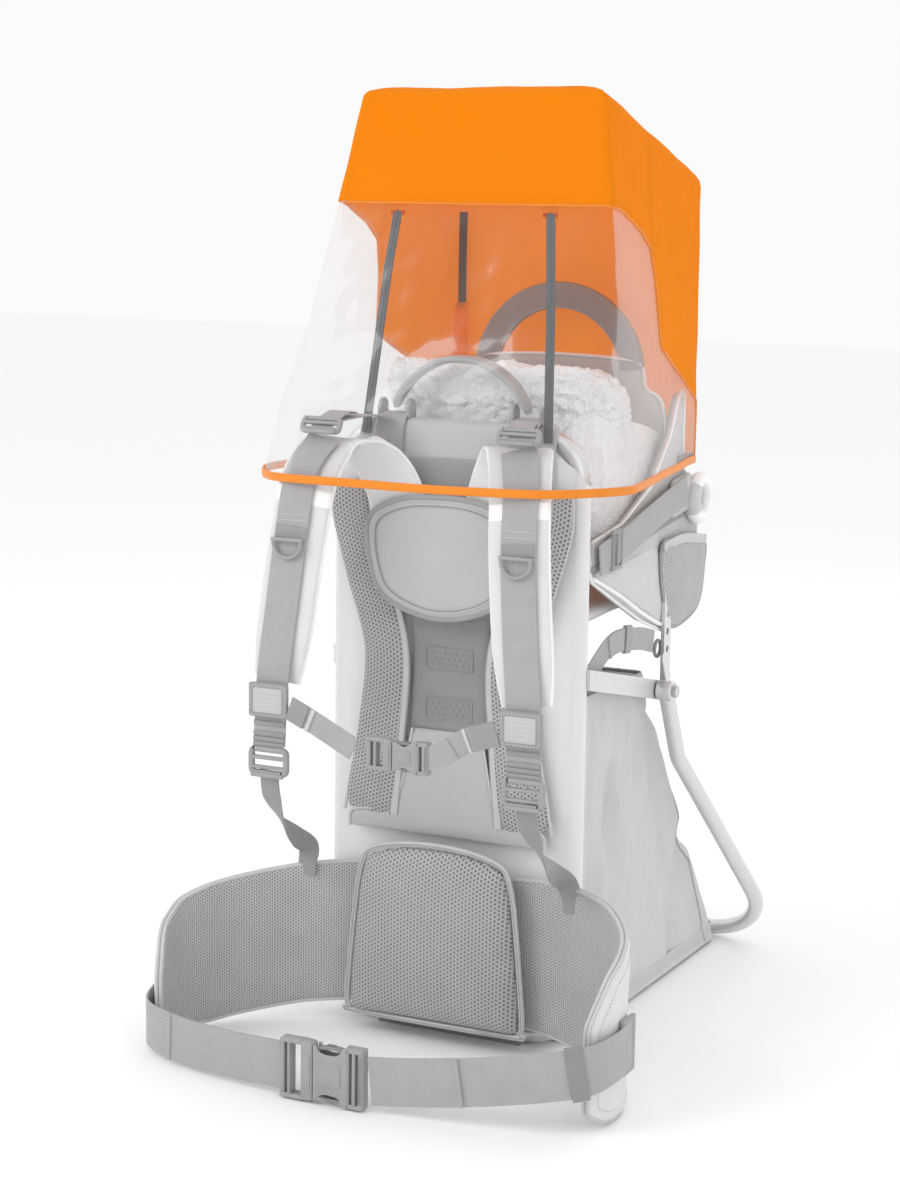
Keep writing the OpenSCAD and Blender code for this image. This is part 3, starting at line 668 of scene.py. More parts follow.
def make_camera():
    across = Vector((math.cos(VIEW_TURN), math.sin(VIEW_TURN), 0))
    away = Vector((-math.sin(VIEW_TURN), math.cos(VIEW_TURN), 0))
    look = away * math.cos(VIEW_PITCH) - Vector((0, 0, math.sin(VIEW_PITCH)))
    up = across.cross(look)
    right = across * math.cos(VIEW_ROLL) + up * math.sin(VIEW_ROLL)
    up = up * math.cos(VIEW_ROLL) - across * math.sin(VIEW_ROLL)
    spot = across * VIEW_ASIDE - away * VIEW_DISTANCE + Vector((0, 0, VIEW_HEIGHT))
    data = bpy.data.cameras.new("camera")
    data.lens = LENS
    camera = bpy.data.objects.new("camera", data)
    camera.matrix_world = Matrix((right, up, -look)).transposed().to_4x4()
    camera.location = spot * MM
    bpy.context.scene.collection.objects.link(camera)
    bpy.context.scene.camera = camera


def make_studio():
    half = 12000
    floor = Form().add([[-half, -half, 0], [half, -half, 0], [half, half, 0], [-half, half, 0]],
                       [[0, 1, 2, 3]],
                       np.zeros((4, 3)))
    mesh = bpy.data.meshes.new("floor")
    mesh.from_pydata((floor.points[0] * MM).tolist(), [], floor.faces)
    obj = bpy.data.objects.new("floor", mesh)
    bpy.context.scene.collection.objects.link(obj)
    pale = Shader("floor_paint", 0.9)
    pale.colour((0.965, 0.965, 0.965, 1), (0.98, 0.98, 0.98, 1), pale.noise(1.5))
    mesh.materials.append(pale.mat)
    world = bpy.data.worlds.new("studio")
    bpy.context.scene.world = world
    world.use_nodes = True
    back = world.node_tree.nodes["Background"]
    back.inputs["Color"].default_value = (1, 1, 1, 1)
    back.inputs["Strength"].default_value = 0.96
    for name, spot, aim, size, power in (
        ("key", (-1600, -2200, 2300), (0, 0, 450), 1.6, 24),
        ("fill", (2400, -1500, 1500), (0, 0, 450), 2.0, 6),
        ("rim", (600, 2400, 2200), (0, 100, 500), 1.8, 10),
    ):
        data = bpy.data.lights.new(name, "AREA")
        data.size = size
        data.energy = power
        lamp = bpy.data.objects.new(name, data)
        lamp.location = Vector(spot) * MM
        lamp.rotation_mode = "QUATERNION"
        lamp.rotation_quaternion = (Vector(aim) - Vector(spot)).to_track_quat("-Z", "Y")
        bpy.context.scene.collection.objects.link(lamp)
    bpy.context.scene.view_settings.view_transform = "Standard"


make_camera()
make_studio()


# ---------- rain hood ----------

HEM_Z, HEM_H, VISOR_Z, HOOD_Z = 606, 9, 893, 1008
HOOD_LOW = (211, -40)
HOOD_TOP = (140, 32)
HOOD_REAR = (153, 297)
HOOD_REAR_Z = 923
BULGE = ([HEM_Z, HEM_Z + 74, HEM_Z + 154, VISOR_Z - 6, HOOD_Z], [96, 92, 44, 0, 0])
FRONT_N, SIDE_N, REAR_N, CORNER_N = 60, 64, 30, 8
CLEAR_EDGE = ([0, 0.10, 0.27, 0.37, 0.42, 0.46, 0.955, 0.965, 1],
              [893, 887, 868, 850, 813, 745, 676, 616, 616])


def hood_ring(z, inset=0.0):
    """Closed ring of the hood at height z, from the front left corner round by the right."""
    f = (z - HEM_Z) / (HOOD_Z - HEM_Z)
    w = HOOD_LOW[0] + (HOOD_TOP[0] - HOOD_LOW[0]) * f - inset
    y = HOOD_LOW[1] + (HOOD_TOP[1] - HOOD_LOW[1]) * f + inset
    rw, ry = HOOD_REAR[0] - inset, HOOD_REAR[1] - inset
    corners = np.array([[-w, y], [w, y], [rw, ry], [-rw, ry]])
    radii = (14, 14, 20, 20)
    points = []
    for k, n in enumerate((FRONT_N, SIDE_N, REAR_N, SIDE_N)):
        a, b, after = corners[k], corners[(k + 1) % 4], corners[(k + 2) % 4]
        start = a + unit(b - a) * radii[k]
        end = b + unit(a - b) * radii[(k + 1) % 4]
        for t in np.linspace(0, 1, n):
            points.append(start + (end - start) * t)
        turn = end, b, b + unit(after - b) * radii[(k + 1) % 4]
        for t in np.linspace(0, 1, CORNER_N + 2)[1:-1]:
            points.append((1 - t) ** 2 * turn[0] + 2 * t * (1 - t) * turn[1] + t * t * turn[2])
    points = np.array(points)
    bulge = np.interp(z, *BULGE)
    ahead = np.clip(1 - (points[:, 1] - y) / 20, 0, 1)
    points[:, 1] -= bulge * (1 - np.clip(abs(points[:, 0]) / w, 0, 1) ** 7) * ahead
    return np.column_stack([points, np.full(len(points), float(z))])


def roof_height(y):
    return HOOD_Z - (HOOD_Z - HOOD_REAR_Z) * np.clip((y - HOOD_TOP[1]) / (HOOD_REAR[1] - HOOD_TOP[1]), 0, 1)


def clear_height():
    """Height of the edge between fabric and film, for each column of the ring."""
    ring = hood_ring(VISOR_Z)
    share = (ring[:, 1] - ring[:, 1].min()) / (ring[:, 1].max() - ring[:, 1].min())
    front = (ring[:, 1] < ring[:, 1].min() + 1) | (abs(ring[:, 0]) < 1)
    height = np.interp(share, *CLEAR_EDGE)
    return np.where(front, VISOR_Z, height), share


def column_points(heights, inset=0.0):
    """One point for each column of the ring, each at its own height."""
    heights = np.asarray(heights, float)
    levels = np.linspace(HEM_Z, HOOD_Z, 60)
    rings = np.array([hood_ring(z, inset) for z in levels])
    out = np.empty((len(heights), 3))
    for k, z in enumerate(heights):
        out[k] = [np.interp(z, levels, rings[:, k, a]) for a in range(3)]
    return out


def creased(grid, size, depth, seed, stretch=(1, 1, 1), keep=None):
    """The grid moved along its normals by smooth folds; keep lists how much each row moves."""
    du = np.roll(grid, -1, 0) - np.roll(grid, 1, 0)
    normal = unit(np.cross(du, np.gradient(grid, axis=1)))
    amount = depth * ripple(grid, size, seed, stretch)
    if keep is not None:
        amount = amount * keep
    return grid + normal * amount[..., None]


def hood_fabric():
    """The orange fabric, one sheet: up from its lower edge, over the rim and in to the ridge."""
    low, share = clear_height()
    top = column_points(np.full(len(low), 990.0))
    edge = roof_height(top[:, 1])
    round_r = np.where(share < 0.02, 9.0, 16.0)
    rows = []
    for t in np.linspace(0, 1, 26):
        rows.append(column_points(low + (edge - round_r - low) * t))
    rim = rows[-1]
    middle = np.column_stack([np.zeros(len(low)), np.clip(rim[:, 1], 120, 215)])
    inward = middle - rim[:, :2]
    far = np.linalg.norm(inward, axis=1, keepdims=True)
    way = inward / far
    for a in np.radians([25, 50, 72, 90]):
        flat = rim[:, :2] + way * (round_r * (1 - math.cos(a)))[:, None]
        rows.append(np.column_stack([flat, rim[:, 2] + round_r * math.sin(a)]))
    last = rows[-1]
    for t in np.linspace(0, 1, 19)[1:]:
        flat = last[:, :2] + (middle - last[:, :2]) * t
        crown = 16 * math.sin(math.pi / 2 * min(1, 1.7 * t)) ** 0.8
        start = last[:, 2] - roof_height(last[:, 1])
        rows.append(np.column_stack([flat, roof_height(flat[:, 1]) + crown + start * (1 - t)]))
    grid = np.stack(rows, axis=1)
    run = np.arange(grid.shape[1])
    keep = np.minimum(1, run / 3) * np.clip((grid.shape[1] - 1 - run) / 6, 0, 1)
    grid = creased(grid, 130, 1.5, 4, (1, 1, 0.6), keep)
    grid = creased(grid, 46, 0.45, 9, (1, 1, 0.5), keep)
    form = Form().cloth(grid, 0.9, closed=True, rims=(True, False))
    visor = grid[:FRONT_N + 2 * CORNER_N + SIDE_N + 2, 0]
    piece = form.build("hood_fabric", [MAT["orange"]], "hood", "orange_fabric", ["rain_hood"], weld=True)
    drop = max(lengths(column)[-1] for column in grid)
    return visor


def hood_film():
    """The clear film: front and both sides, from the hem up to the fabric's edge."""
    low, share = clear_height()
    n = len(low)
    columns = [k for k in range(n) if share[k] < 0.962]
    start = next(i for i, k in enumerate(columns) if i and columns[i] != columns[i - 1] + 1)
    columns = columns[start:] + columns[:start]
    rows = []
    for t in np.linspace(0, 1, 56):
        z = HEM_Z + HEM_H - 5 + (low + 5 - HEM_Z - HEM_H + 5) * t
        rows.append(column_points(z, 1.2)[columns])
    grid = np.stack(rows, axis=1)
    t = np.linspace(0, 1, grid.shape[1])
    keep = np.sin(math.pi * t) ** 0.5
    normal = unit(np.cross(np.gradient(grid, axis=0), np.gradient(grid, axis=1)))
    folds = 2.6 * ripple(grid, 88, 12, (1, 1, 0.22)) + 1.0 * ripple(grid, 31, 5, (1, 1, 0.3))
    grid = grid + normal * (np.minimum(folds, 1.5) * keep)[..., None]
    form = Form().cloth(grid, 0.5)
    piece = form.build("hood_film", [MAT["film"]], "hood", "clear_film", ["hood_window"])
    length = max(lengths(grid[:, k])[-1] for k in range(grid.shape[1]))
    drop = max(lengths(column)[-1] for column in grid)


def hood_trim(visor):
    """The hem tape round the bottom, the piping along the film's edge, and the stays with their tabs."""
    ring = hood_ring(HEM_Z + HEM_H / 2)
    ring[:, 2] += 1.2 * ripple(ring, 150, 3)
    form = Form().sweep(ring, oval_section(3.2, HEM_H, 14, 0.75), np.cross(tangents(ring, True), [0, 0, 1]),
                        0, closed=True)
    form.build("hood_hem_tape", [MAT["orange_tape"]], "hood", "orange_fabric", ["hood_hem"])
    edge = visor - [0, 0, 1.5]
    form = Form().tube(edge, 1.3, sides=8)
    form.stitches(edge + [0, -1.2, 7], 1)
    form.build("visor_piping", [MAT["orange_tape"], MAT["orange"]], "hood", "orange_fabric")
    form = Form()
    for side in (-1, 1):
        for line in (
            [[88, 20, 884], [93.5, 10, 828], [98, 2, 770], [102, -7, 710], [106, -16, 650]],
            [[140, 286, 880], [140, 285, 825], [139, 283, 770]],
        ):
            line = smooth_line(np.array(line, float) * [side, 1, 1], 8)
            form.web(line, [1, 0, 0], 10, 2.8)
            form.tube(line + [0, -1.2, 0], 1.1, 0, sides=6)
    form.build("stay_straps", [MAT["stay"]], "hood", "stay_strap", ["hood_stays"])
    form = Form()
    for side in (-1, 1):
        tab = smooth_line(np.array([[139, 282, 776], [138, 279, 735], [137, 276, 694]],
                                   float) * [side, 1, 1], 6)
        form.web(tab, [1, 0, 0], 20, 1.6, 0,
                 np.column_stack([np.linspace(0.8, 1.1, len(tab)), np.ones(len(tab))]))
        for z in (884, 878):
            form.web([[side * 80, 19, z], [side * 96, 19, z]], [0, 0, 1], 12, 1.4)
    form.build("stay_tabs", [MAT["orange"]], "hood", "orange_fabric")


visor_edge = hood_fabric()
hood_film()
hood_trim(visor_edge)

# ---------- soft pads ----------

CLOTH_FRAMES = 20


def inflated(form, name, mats, body, slot, nodes, cap=6, voxel=5, weave_axes=(0, 2), pressure=4):
    """Builds a padded piece: remeshed, then swollen by a cloth simulation that is cut to cap mm at each point."""
    obj = form.build(name, mats, None, slot)
    remesh = obj.modifiers.new("remesh", "REMESH")
    remesh.mode = "VOXEL"
    remesh.voxel_size = voxel * MM
    bake_modifiers(obj)
    rest = np.array([v.co for v in obj.data.vertices])
    cloth = obj.modifiers.new("cloth", "CLOTH")
    cloth.settings.use_pressure = True
    cloth.settings.uniform_pressure_force = pressure
    cloth.settings.effector_weights.gravity = 0
    cloth.point_cache.frame_start, cloth.point_cache.frame_end = 1, CLOTH_FRAMES
    for number in range(1, CLOTH_FRAMES + 1):
        bpy.context.scene.frame_set(number)
    bake_modifiers(obj)
    bpy.context.scene.frame_set(1)
    moved = np.array([v.co for v in obj.data.vertices]) - rest
    far = np.linalg.norm(moved, axis=1, keepdims=True)
    limited = rest + moved * np.minimum(1, cap * MM / np.maximum(far, 1e-9))
    obj.data.vertices.foreach_set("co", limited.ravel())
    smooth = obj.modifiers.new("smooth", "SUBSURF")
    smooth.levels = 1
    bake_modifiers(obj)
    old = obj.data.attributes.get("weave")
    if old:
        obj.data.attributes.remove(old)
    layer = obj.data.attributes.new("weave", "FLOAT_VECTOR", "POINT")
    points = np.array([v.co for v in obj.data.vertices])
    flat = np.column_stack([points[:, weave_axes[0]], points[:, weave_axes[1]], points[:, 0] * 0])
    layer.data.foreach_set("vector", np.ascontiguousarray(flat, np.float32).ravel())
    obj.data.polygons.foreach_set("use_smooth", [True] * len(obj.data.polygons))
    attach(obj, body)
    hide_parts(*nodes)
    return obj


def bake_modifiers(obj):
    """Makes what the modifiers show the object's own mesh."""
    shown = bpy.data.meshes.new_from_object(obj.evaluated_get(bpy.context.evaluated_depsgraph_get()))
    old = obj.data
    obj.modifiers.clear()
    obj.data = shown
    bpy.data.meshes.remove(old)


# ---------- back panel ----------

TUBE_X, TUBE_R, TOP_Z = 136, 10, 655


def tube_wrap():
    """The pale fabric that is stretched over both upright tubes."""
    r = TUBE_R + 1.2
    half = [[0, -13.4], [60, -13.4], [112, -13.2]] + list(arc((TUBE_X, 0), r, -96, 100, 22))
    half = np.array(half)
    profile = np.concatenate([half[:0:-1] * [-1, 1], half])
    heights = np.linspace(62, 640, 60)
    grid = np.array([[[x, y, z] for z in heights] for x, y in profile])
    slope = np.clip((abs(grid[..., 0]) - 108) / 40, 0, 1) ** 2 * np.clip((grid[..., 2] - 560) / 80, 0, 1)
    grid[..., 2] -= 34 * slope
    grid[..., 1] += 0.35 * ripple(grid, 120, 6, (1, 1, 0.4)) * (abs(grid[..., 0]) < 118)
    piece = Form().cloth(grid, 1.1).build("tube_wrap", [MAT["panel"]], "carrier", "panel_fabric",
                                          ["front_panel"])
    lengths(profile)[-1] * MM


def top_cover():
    """The grey fabric over the top tube, down to the shield."""
    columns = []
    for x in np.linspace(-114, 114, 70):
        drop = 45 - math.sqrt(45 ** 2 - max(0, abs(x) - 91) ** 2)
        wrap = [[11.9 * math.cos(a), TOP_Z - drop + 11.9 * math.sin(a)]
                for a in np.radians(np.linspace(-30, 170, 18))]
        down = [[-13, 648], [-14.6, 632], [-15.6, 610], [-16, 580], [-16, 536]]
        columns.append([[x, y, z] for y, z in wrap + down])
    grid = np.array(columns)
    keep = np.clip((np.arange(grid.shape[1]) - 16) / 3, 0, 1)
    grid[..., 1] -= keep * (0.9 + 0.9 * ripple(grid, 70, 8, (1.2, 1, 0.5)))
    form = Form().cloth(grid, 1.2)
    piece = form.build("top_cover", [MAT["shield"]], "carrier", "grey_fabric")
    lengths(grid[35])[-1] * MM


WAIST = [[58, 236], [50, 300], [46, 380], [46, 440], [60, 500], [76, 560], [74, 628]]
PAD_MID = [[92, -23.5, 240], [80, -23.5, 330], [74, -23.5, 420], [96, -23.5, 500], [114, -23.5, 560],
           [118, -23.5, 600]]
PAD_WIDTHS = [64, 54, 50, 52, 50, 44]


def back_panels():
    """Centre panel with its rungs, the two mesh pads and the lower cover."""
    half = smooth_line(WAIST, 6)
    outline = np.concatenate([half, half[::-1] * [-1, 1]])
    form = Form().plate(outline, facing(-18.6), 5, 4, 7, 1.2, fold=0.4, seed=3)
    form.build("centre_panel", [MAT["dark"]], "carrier", "dark_fabric", ["back_panel"])
    form = Form()
    for z in (307, 361, 415, 469, 523):
        frame_line = round_corners([[-27, z - 12], [27, z - 12], [27, z + 12], [-27, z + 12]], 4)
        form.block(frame_line, facing(-20.5), 0, 1.6, 0.6)
        form.tube(np.column_stack([frame_line[:, 0], np.full(len(frame_line), -22.3), frame_line[:, 1]]),
                  0.8, 0, True, 6)
        for row in (-6, 0, 6):
            for k in range(7):
                x = -21 + 7 * k + (3.5 if row == 0 else 0)
                if x < 22:
                    bar = round_corners(
                        [[x - 2.6, z + row - 1.5], [x + 2.6, z + row - 1.5], [x + 2.6, z + row + 1.5],
                                         [x - 2.6, z + row + 1.5]], 1, 2)
                    form.block(bar, facing(-20.5), 1.2, 2.6, 0.5)
    form.build("height_rungs", [MAT["dark"]], "carrier", "dark_fabric")
    form = Form()
    for side in (-1, 1):
        line = smooth_line(PAD_MID, 10) * [side, 1, 1]
        t = np.linspace(0, 1, len(line))
        width = np.interp(t * 5, range(6), PAD_WIDTHS)
        end = np.clip(np.minimum(t, 1 - t) * 18, 0, 1) ** 0.5
        form.sweep(line, oval_section(1, 1, 30, 0.62), [1, 0, 0], 0,
                   np.column_stack([width * (0.8 + 0.2 * end), 14.4 * (0.45 + 0.55 * end)]))
        inner = line - np.column_stack([side * width * 0.47, t * 0, t * 0]) + [0, -3.6, 0]
        form.web(inner, [1, 0, -0.1], 8.5, 3, 1)
        form.tube(inner + [side * 4.6, -0.8, 0], 1.1, 2, sides=7)
        form.tube(inner + [-side * 4.4, -0.2, 0], 1.1, 2, sides=7)
        outer = line + np.column_stack([side * width * 0.485, t * 0, t * 0]) + [0, -1.5, 0]
        form.tube(outer, 2, 1, sides=8)
    form.build("mesh_back_pads", [MAT["mesh"], MAT["binding"], MAT["piping_dark"]], "carrier",
               "mesh_fabric", ["back_pads"])
    half = np.concatenate([smooth_line([[116, 222], [112, 240], [76, 247], [57, 264], [48, 300], [41, 338]],
                                       5)])
    outline = np.concatenate([half, half[::-1] * [-1, 1]])
    form = Form().plate(outline, facing(-24), 5, 4, 7, 2.5, fold=0.6, seed=5)
    for side in (-1, 1):
        edge = np.column_stack([half[:, 0] * side, np.full(len(half), -26.6), half[:, 1]])
        form.tube(edge, 1.6, 1, sides=8)
    form.build("lower_back_cover", [MAT["shield"], MAT["binding"]], "carrier", "grey_fabric",
               ["lower_back_panel"])


def lumbar():
    """The crowned mesh pad at the small of the back, with its binding."""
    side = [[104, 40], [98, 110], [91, 170], [84, 196]]
    dome = [[84 * math.sin(a), 196 + 22 * math.cos(a)] for a in np.radians(np.linspace(72, 0, 7))]
    half = np.array([[92, 22], [101, 27]] + side + dome)
    outline = np.concatenate([half, half[-2::-1] * [-1, 1]])
    curved = smooth_line(outline, 4, closed=True)
    form = Form().plate(curved, facing(-50), 15, 13, 7, 6.5, back_crown=2)
    inflated(form, "lumbar_cushion", [MAT["mesh"]], "carrier", "mesh_fabric", ["lumbar_pad"], cap=3)
    rim = np.column_stack([curved[:, 0] * 1.005, np.full(len(curved), -51.0), curved[:, 1] + 0.5])
    form = Form().tube(rim, 3.1, 0, True)
    form.tube(rim + [0, -2.6, 0], 1.0, 1, True, 6)
    form.build("lumbar_binding", [MAT["binding"], MAT["piping_dark"]], "carrier", "mesh_fabric")


# ---------- hip belt ----------

WING_PLAN = [[60, -26.5], [112, -28], [162, -42], [208, -74], [240, -112], [256, -148], [256, -182],
             [245, -210]]
WING_TOP = [186, 186, 182, 176, 168, 158, 138, 96]
WING_LOW = [28, 26, 20, 12, 6, 4, 4, 12]


def hip_wing(side, name):
    """A hip wing: mesh towards the wearer, pale nylon outside, bound all round."""
    rise = 14 if side > 0 else -8
    plan = smooth_line(WING_PLAN, 10)
    along = lengths(plan)
    u = np.linspace(0, 7, len(plan))
    top = np.interp(u, range(8), WING_TOP) + rise * np.minimum(1, u / 3)
    low = np.interp(u, range(8), WING_LOW)
    pick = slice(0, None, 5)
    upper = np.column_stack([along[pick], top[pick] - 1])
    lower = np.column_stack([along[pick], low[pick] + 1])
    upper[-1] += [-1, -4]
    lower[-1] += [-1, 6]
    outline = np.concatenate([smooth_line(lower, 4), smooth_line(upper[::-1], 4)])
    outline = round_corners(outline, 12, 2)
    out_way = unit(np.column_stack([-np.gradient(plan[:, 1]), np.gradient(plan[:, 0])]))

    def place(s, z, w):
        x, y = np.interp(s, along, plan[:, 0]), np.interp(s, along, plan[:, 1])
        nx, ny = np.interp(s, along, out_way[:, 0]), np.interp(s, along, out_way[:, 1])
        return np.stack([side * (x - nx * w), y - ny * w, z], axis=-1)

    form = Form().plate(outline, place, 11, 7, 7, 0.8, 0, 1, fold=0.9, seed=7 + side)
    rim = evenly(outline, 5, closed=True)
    for w, r, mat in ((2.4, 2.3, 2), (-2.2, 2.0, 2)):
        form.tube(place(rim[:, 0], rim[:, 1], np.full(len(rim), w)), r, mat, True, 8)
    inset = rim + unit(np.stack([-np.gradient(rim[:, 1]), np.gradient(rim[:, 0])], 1)) * 11
    keep = (inset[:, 0] > 70)
    row = place(inset[keep, 0], inset[keep, 1], np.full(keep.sum(), -5.9))
    form.stitches(row, 3)
    piece = form.build(name + "_hip_pad",
                       [MAT["fine_mesh"], MAT["pad"], MAT["binding"], MAT["thread_dark"]], "carrier",
                       "grey_fabric", [name + "_hip_wing"])


HIP = (-26, -262, 33)
HIP_LEFT = [[-266, -150, 44], [-266, -186, 39], [-251, -221, 34], [-204, -241, 31], [-140, -254, 31],
            [-65, -262, 33]]
HIP_RIGHT = [[36, -262, 33], [84, -257, 38], [150, -250, 48], [215, -238, 60], [254, -221, 68],
             [267.5, -188, 73],
             [267.5, -150, 76]]


def folded_end(form, line, d, w, mat, out=1.8):
    """The doubled, stitched tail of a strap: a second layer up to distance d, ending in a fold."""
    t = tangents(line)
    off = unit(np.cross([0, 0, 1], t)) * -out
    layer = line + off
    tail = at_length(layer, np.linspace(0, d, 24))
    form.web(tail, [0, 0, 1], w - 1, 1.7, mat)
    fold = at_length(layer, np.linspace(d - 4, d, 3)) + off[len(off) // 2] * 0.6
    form.web(fold, [0, 0, 1], w, 2.6, mat)
    return form


def hip_belt():
    """Both lengths of the belt's webbing and the patches that sew them to the wings."""
    left, right = smooth_line(HIP_LEFT, 10), smooth_line(HIP_RIGHT, 10)
    form = Form().web(left, [0, 0, 1], 50, 1.9)
    folded_end(form, left[::-1], 150, 50, 0, -1.8)
    for d in (148, 152):
        seam = at_length(left[::-1], [d, d + 0.01])
        form.stitches(seam[:1] + np.outer(np.linspace(-22, 22, 12), [0, 0, 1]) + [0, -3.6, 0], 1)
    strap = form.build("hip_strap_left", [MAT["web"], MAT["thread"]], None, "webbing", ["hip_webbing_left"])
    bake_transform(strap)
    form = Form().web(right, [0, 0, 1], 50, 1.9)
    folded_end(form, right, 96, 50, 0)
    form.build("hip_strap_right", [MAT["web"], MAT["thread"]], "carrier", "webbing", ["hip_webbing_right"])
    form = Form()
    for side, z in ((-1, 44), (1, 76)):
        face = lambda u, v, w, side=side: np.stack([side * (266.6 + w), u, v], axis=-1)
        patch = round_corners([[-172, z - 29], [-140, z - 29], [-140, z + 29], [-172, z + 29]], 3)
        form.block(patch, face, -2.4, 1.6, 0.7)
        row = round_corners([[-169, z - 26], [-143, z - 26], [-143, z + 26], [-169, z + 26]], 2)
        form.stitches(np.column_stack([np.full(len(row), side * 268.3), row]), 1, closed=True)
    keeper = at_length(right, np.linspace(205, 222, 4)) + [0.8, -1.2, 0]
    form.web(keeper, [0, 0, 1], 56, 4.4, 2)
    form.build("hip_strap_patches", [MAT["web_dark"], MAT["thread"], MAT["plastic_dark"]], "carrier",
               "webbing")


# ---------- buckles ----------

def box_outline(x0, x1, z0, z1, r=2.0):
    return round_corners([[x0, z0], [x1, z0], [x1, z1], [x0, z1]], r, 3)


def web_frame(form, at, x0, x1, h, t, bars, mat=0):
    """End frame of a buckle: two rails, and the bars that the webbing turns round."""
    place = lambda u, v, w: np.stack([at[0] + u, at[1] - w, at[2] + v], axis=-1)
    for s in (-1, 1):
        form.block(box_outline(x0, x1, min(s * h / 2, s * (h / 2 - 4.5)), max(s * h / 2, s * (h / 2 - 4.5)),
                               1.6), place,
                   -t / 2, t / 2, 1.1, mat)
    for a, b, low, high in bars:
        form.block(box_outline(a, b, -h / 2 + 3, h / 2 - 3, 1.2), place, low, high, 0.9, mat)


def socket_body(name, at, l, h, t, body, node):
    """Socket of a side-release buckle: two plates hollowed for the prongs, and a webbing frame."""
    place = lambda u, v, w: np.stack([at[0] + u, at[1] - w, at[2] + v], axis=-1)
    waist, end = h / 2 - h * 0.15, l * 0.66
    side = [[0.4, h / 2 - 2.5], [3.5, h / 2 - 2], [8, waist + 1], [end * 0.5, waist - 1],
            [end - 8, waist + 1],
            [end - 3, h / 2 - 0.8], [end + 2, h / 2]]
    half = smooth_line(side, 4)
    outline = np.concatenate([half, half[::-1] * [1, -1]])
    form = Form()
    form.block(outline, place, t / 2 - 2.3, t / 2 + 0.4, 0.9)
    form.block(outline, place, -t / 2, -t / 2 + 2.2, 0.9)
    raised = round_corners([[6, -h * 0.2], [end - 5, -h * 0.2], [end - 5, h * 0.2], [6, h * 0.2]], 3, 4)
    form.block(raised, place, t / 2, t / 2 + 1.2, 0.6)
    form.block(box_outline(end - 2, end + 4, -h / 2 + 0.6, h / 2 - 0.6, 1.5), place, -t / 2, t / 2, 1.2)
    web_frame(form, at, end, l, h, t,
              [(l - 5.5, l, -t / 2, t / 2 - 1), (end + 7.5, end + 11, -t / 2 + 1, t / 2 + 0.4)])
    for k in range(3):
        form.block(box_outline(l - 4.8 + 1.5 * k, l - 4 + 1.5 * k, -h / 2 + 7, h / 2 - 7, 0.3), place,
                   t / 2 - 1.4, t / 2 - 0.3, 0.25)
    form.build(name, [MAT["plastic"]], body, "buckle_plastic", [node])


def plug_body(name, at, l, h, t, reach, body, node):
    place = lambda u, v, w: np.stack([at[0] + u, at[1] - w, at[2] + v], axis=-1)
    form = Form()
    neck = smooth_line([[-l * 0.36, h / 2], [-4, h / 2 - 0.6], [-0.6, h / 2 - 2.4]], 4)
    form.block(np.concatenate([neck, neck[::-1] * [1, -1]]), place, -t / 2, t / 2, 1.3)
    form.block(round_corners([[-l * 0.34, -h * 0.3], [-3, -h * 0.3], [-3, h * 0.3], [-l * 0.34, h * 0.3]],
                             2.5, 3), place,
               t / 2 - 0.2, t / 2 + 0.8, 0.4)
    web_frame(form, at, -l, -l * 0.36 + 1, h, t,
              [(-l, -l + 5, -t / 2, t / 2 - 1), (-l + 9, -l + 12, -t / 2 + 1, t / 2 + 0.3)])
    tongue = 0.9 * (h - 28)
    form.block(box_outline(-1, reach - 1, -tongue / 2, tongue / 2, 2), place, -(t - 5) / 2 + 0.2,
               (t - 5) / 2 - 0.2, 0.8)
    form.build(name, [MAT["plastic"]], body, "buckle_plastic", [node])


def prong(name, at, h, t, reach, up, body, node):
    """One sprung arm of the plug, with a ribbed thumb pad that shows beside the socket's plates."""
    place = lambda u, v, w: np.stack([at[0] + u, at[1] - w, at[2] + up * v], axis=-1)
    arm = smooth_line([[0, h / 2 - 7], [reach * 0.25, h / 2 - 3.4], [reach * 0.5, h / 2 - 2.2],
                       [reach * 0.8, h / 2 - 3],
                       [reach - 4, h / 2 - 6]], 4)
    back = arm[::-1] - [0, 3.4]
    form = Form().block(np.concatenate([arm, back]), place, -(t - 6) / 2, (t - 6) / 2, 0.8)
    for k in range(4):
        x = reach * 0.36 + 2.4 * k
        form.block(box_outline(x, x + 1.2, h / 2 - 4, h / 2 - 1.2, 0.4), place, -(t - 7) / 2, (t - 7) / 2,
                   0.3)
    form.build(name, [MAT["plastic_dark"]], body, "buckle_plastic", [node])


def side_release(kind, at, socket_l, plug_l, h, t, mouth, reach, socket_body_name):
    socket_body(kind + "_socket", at, socket_l, h, t, socket_body_name, kind + "_buckle_socket")
    plug_body(kind + "_plug_body", at, plug_l, h, t, reach, kind + "_plug", kind + "_buckle_plug")
    for up, word in ((1, "upper"), (-1, "lower")):
        prong(f"{kind}_{word}_arm", at, h, t, mouth, up, f"{kind}_{word}", f"{kind}_prong_{word}")


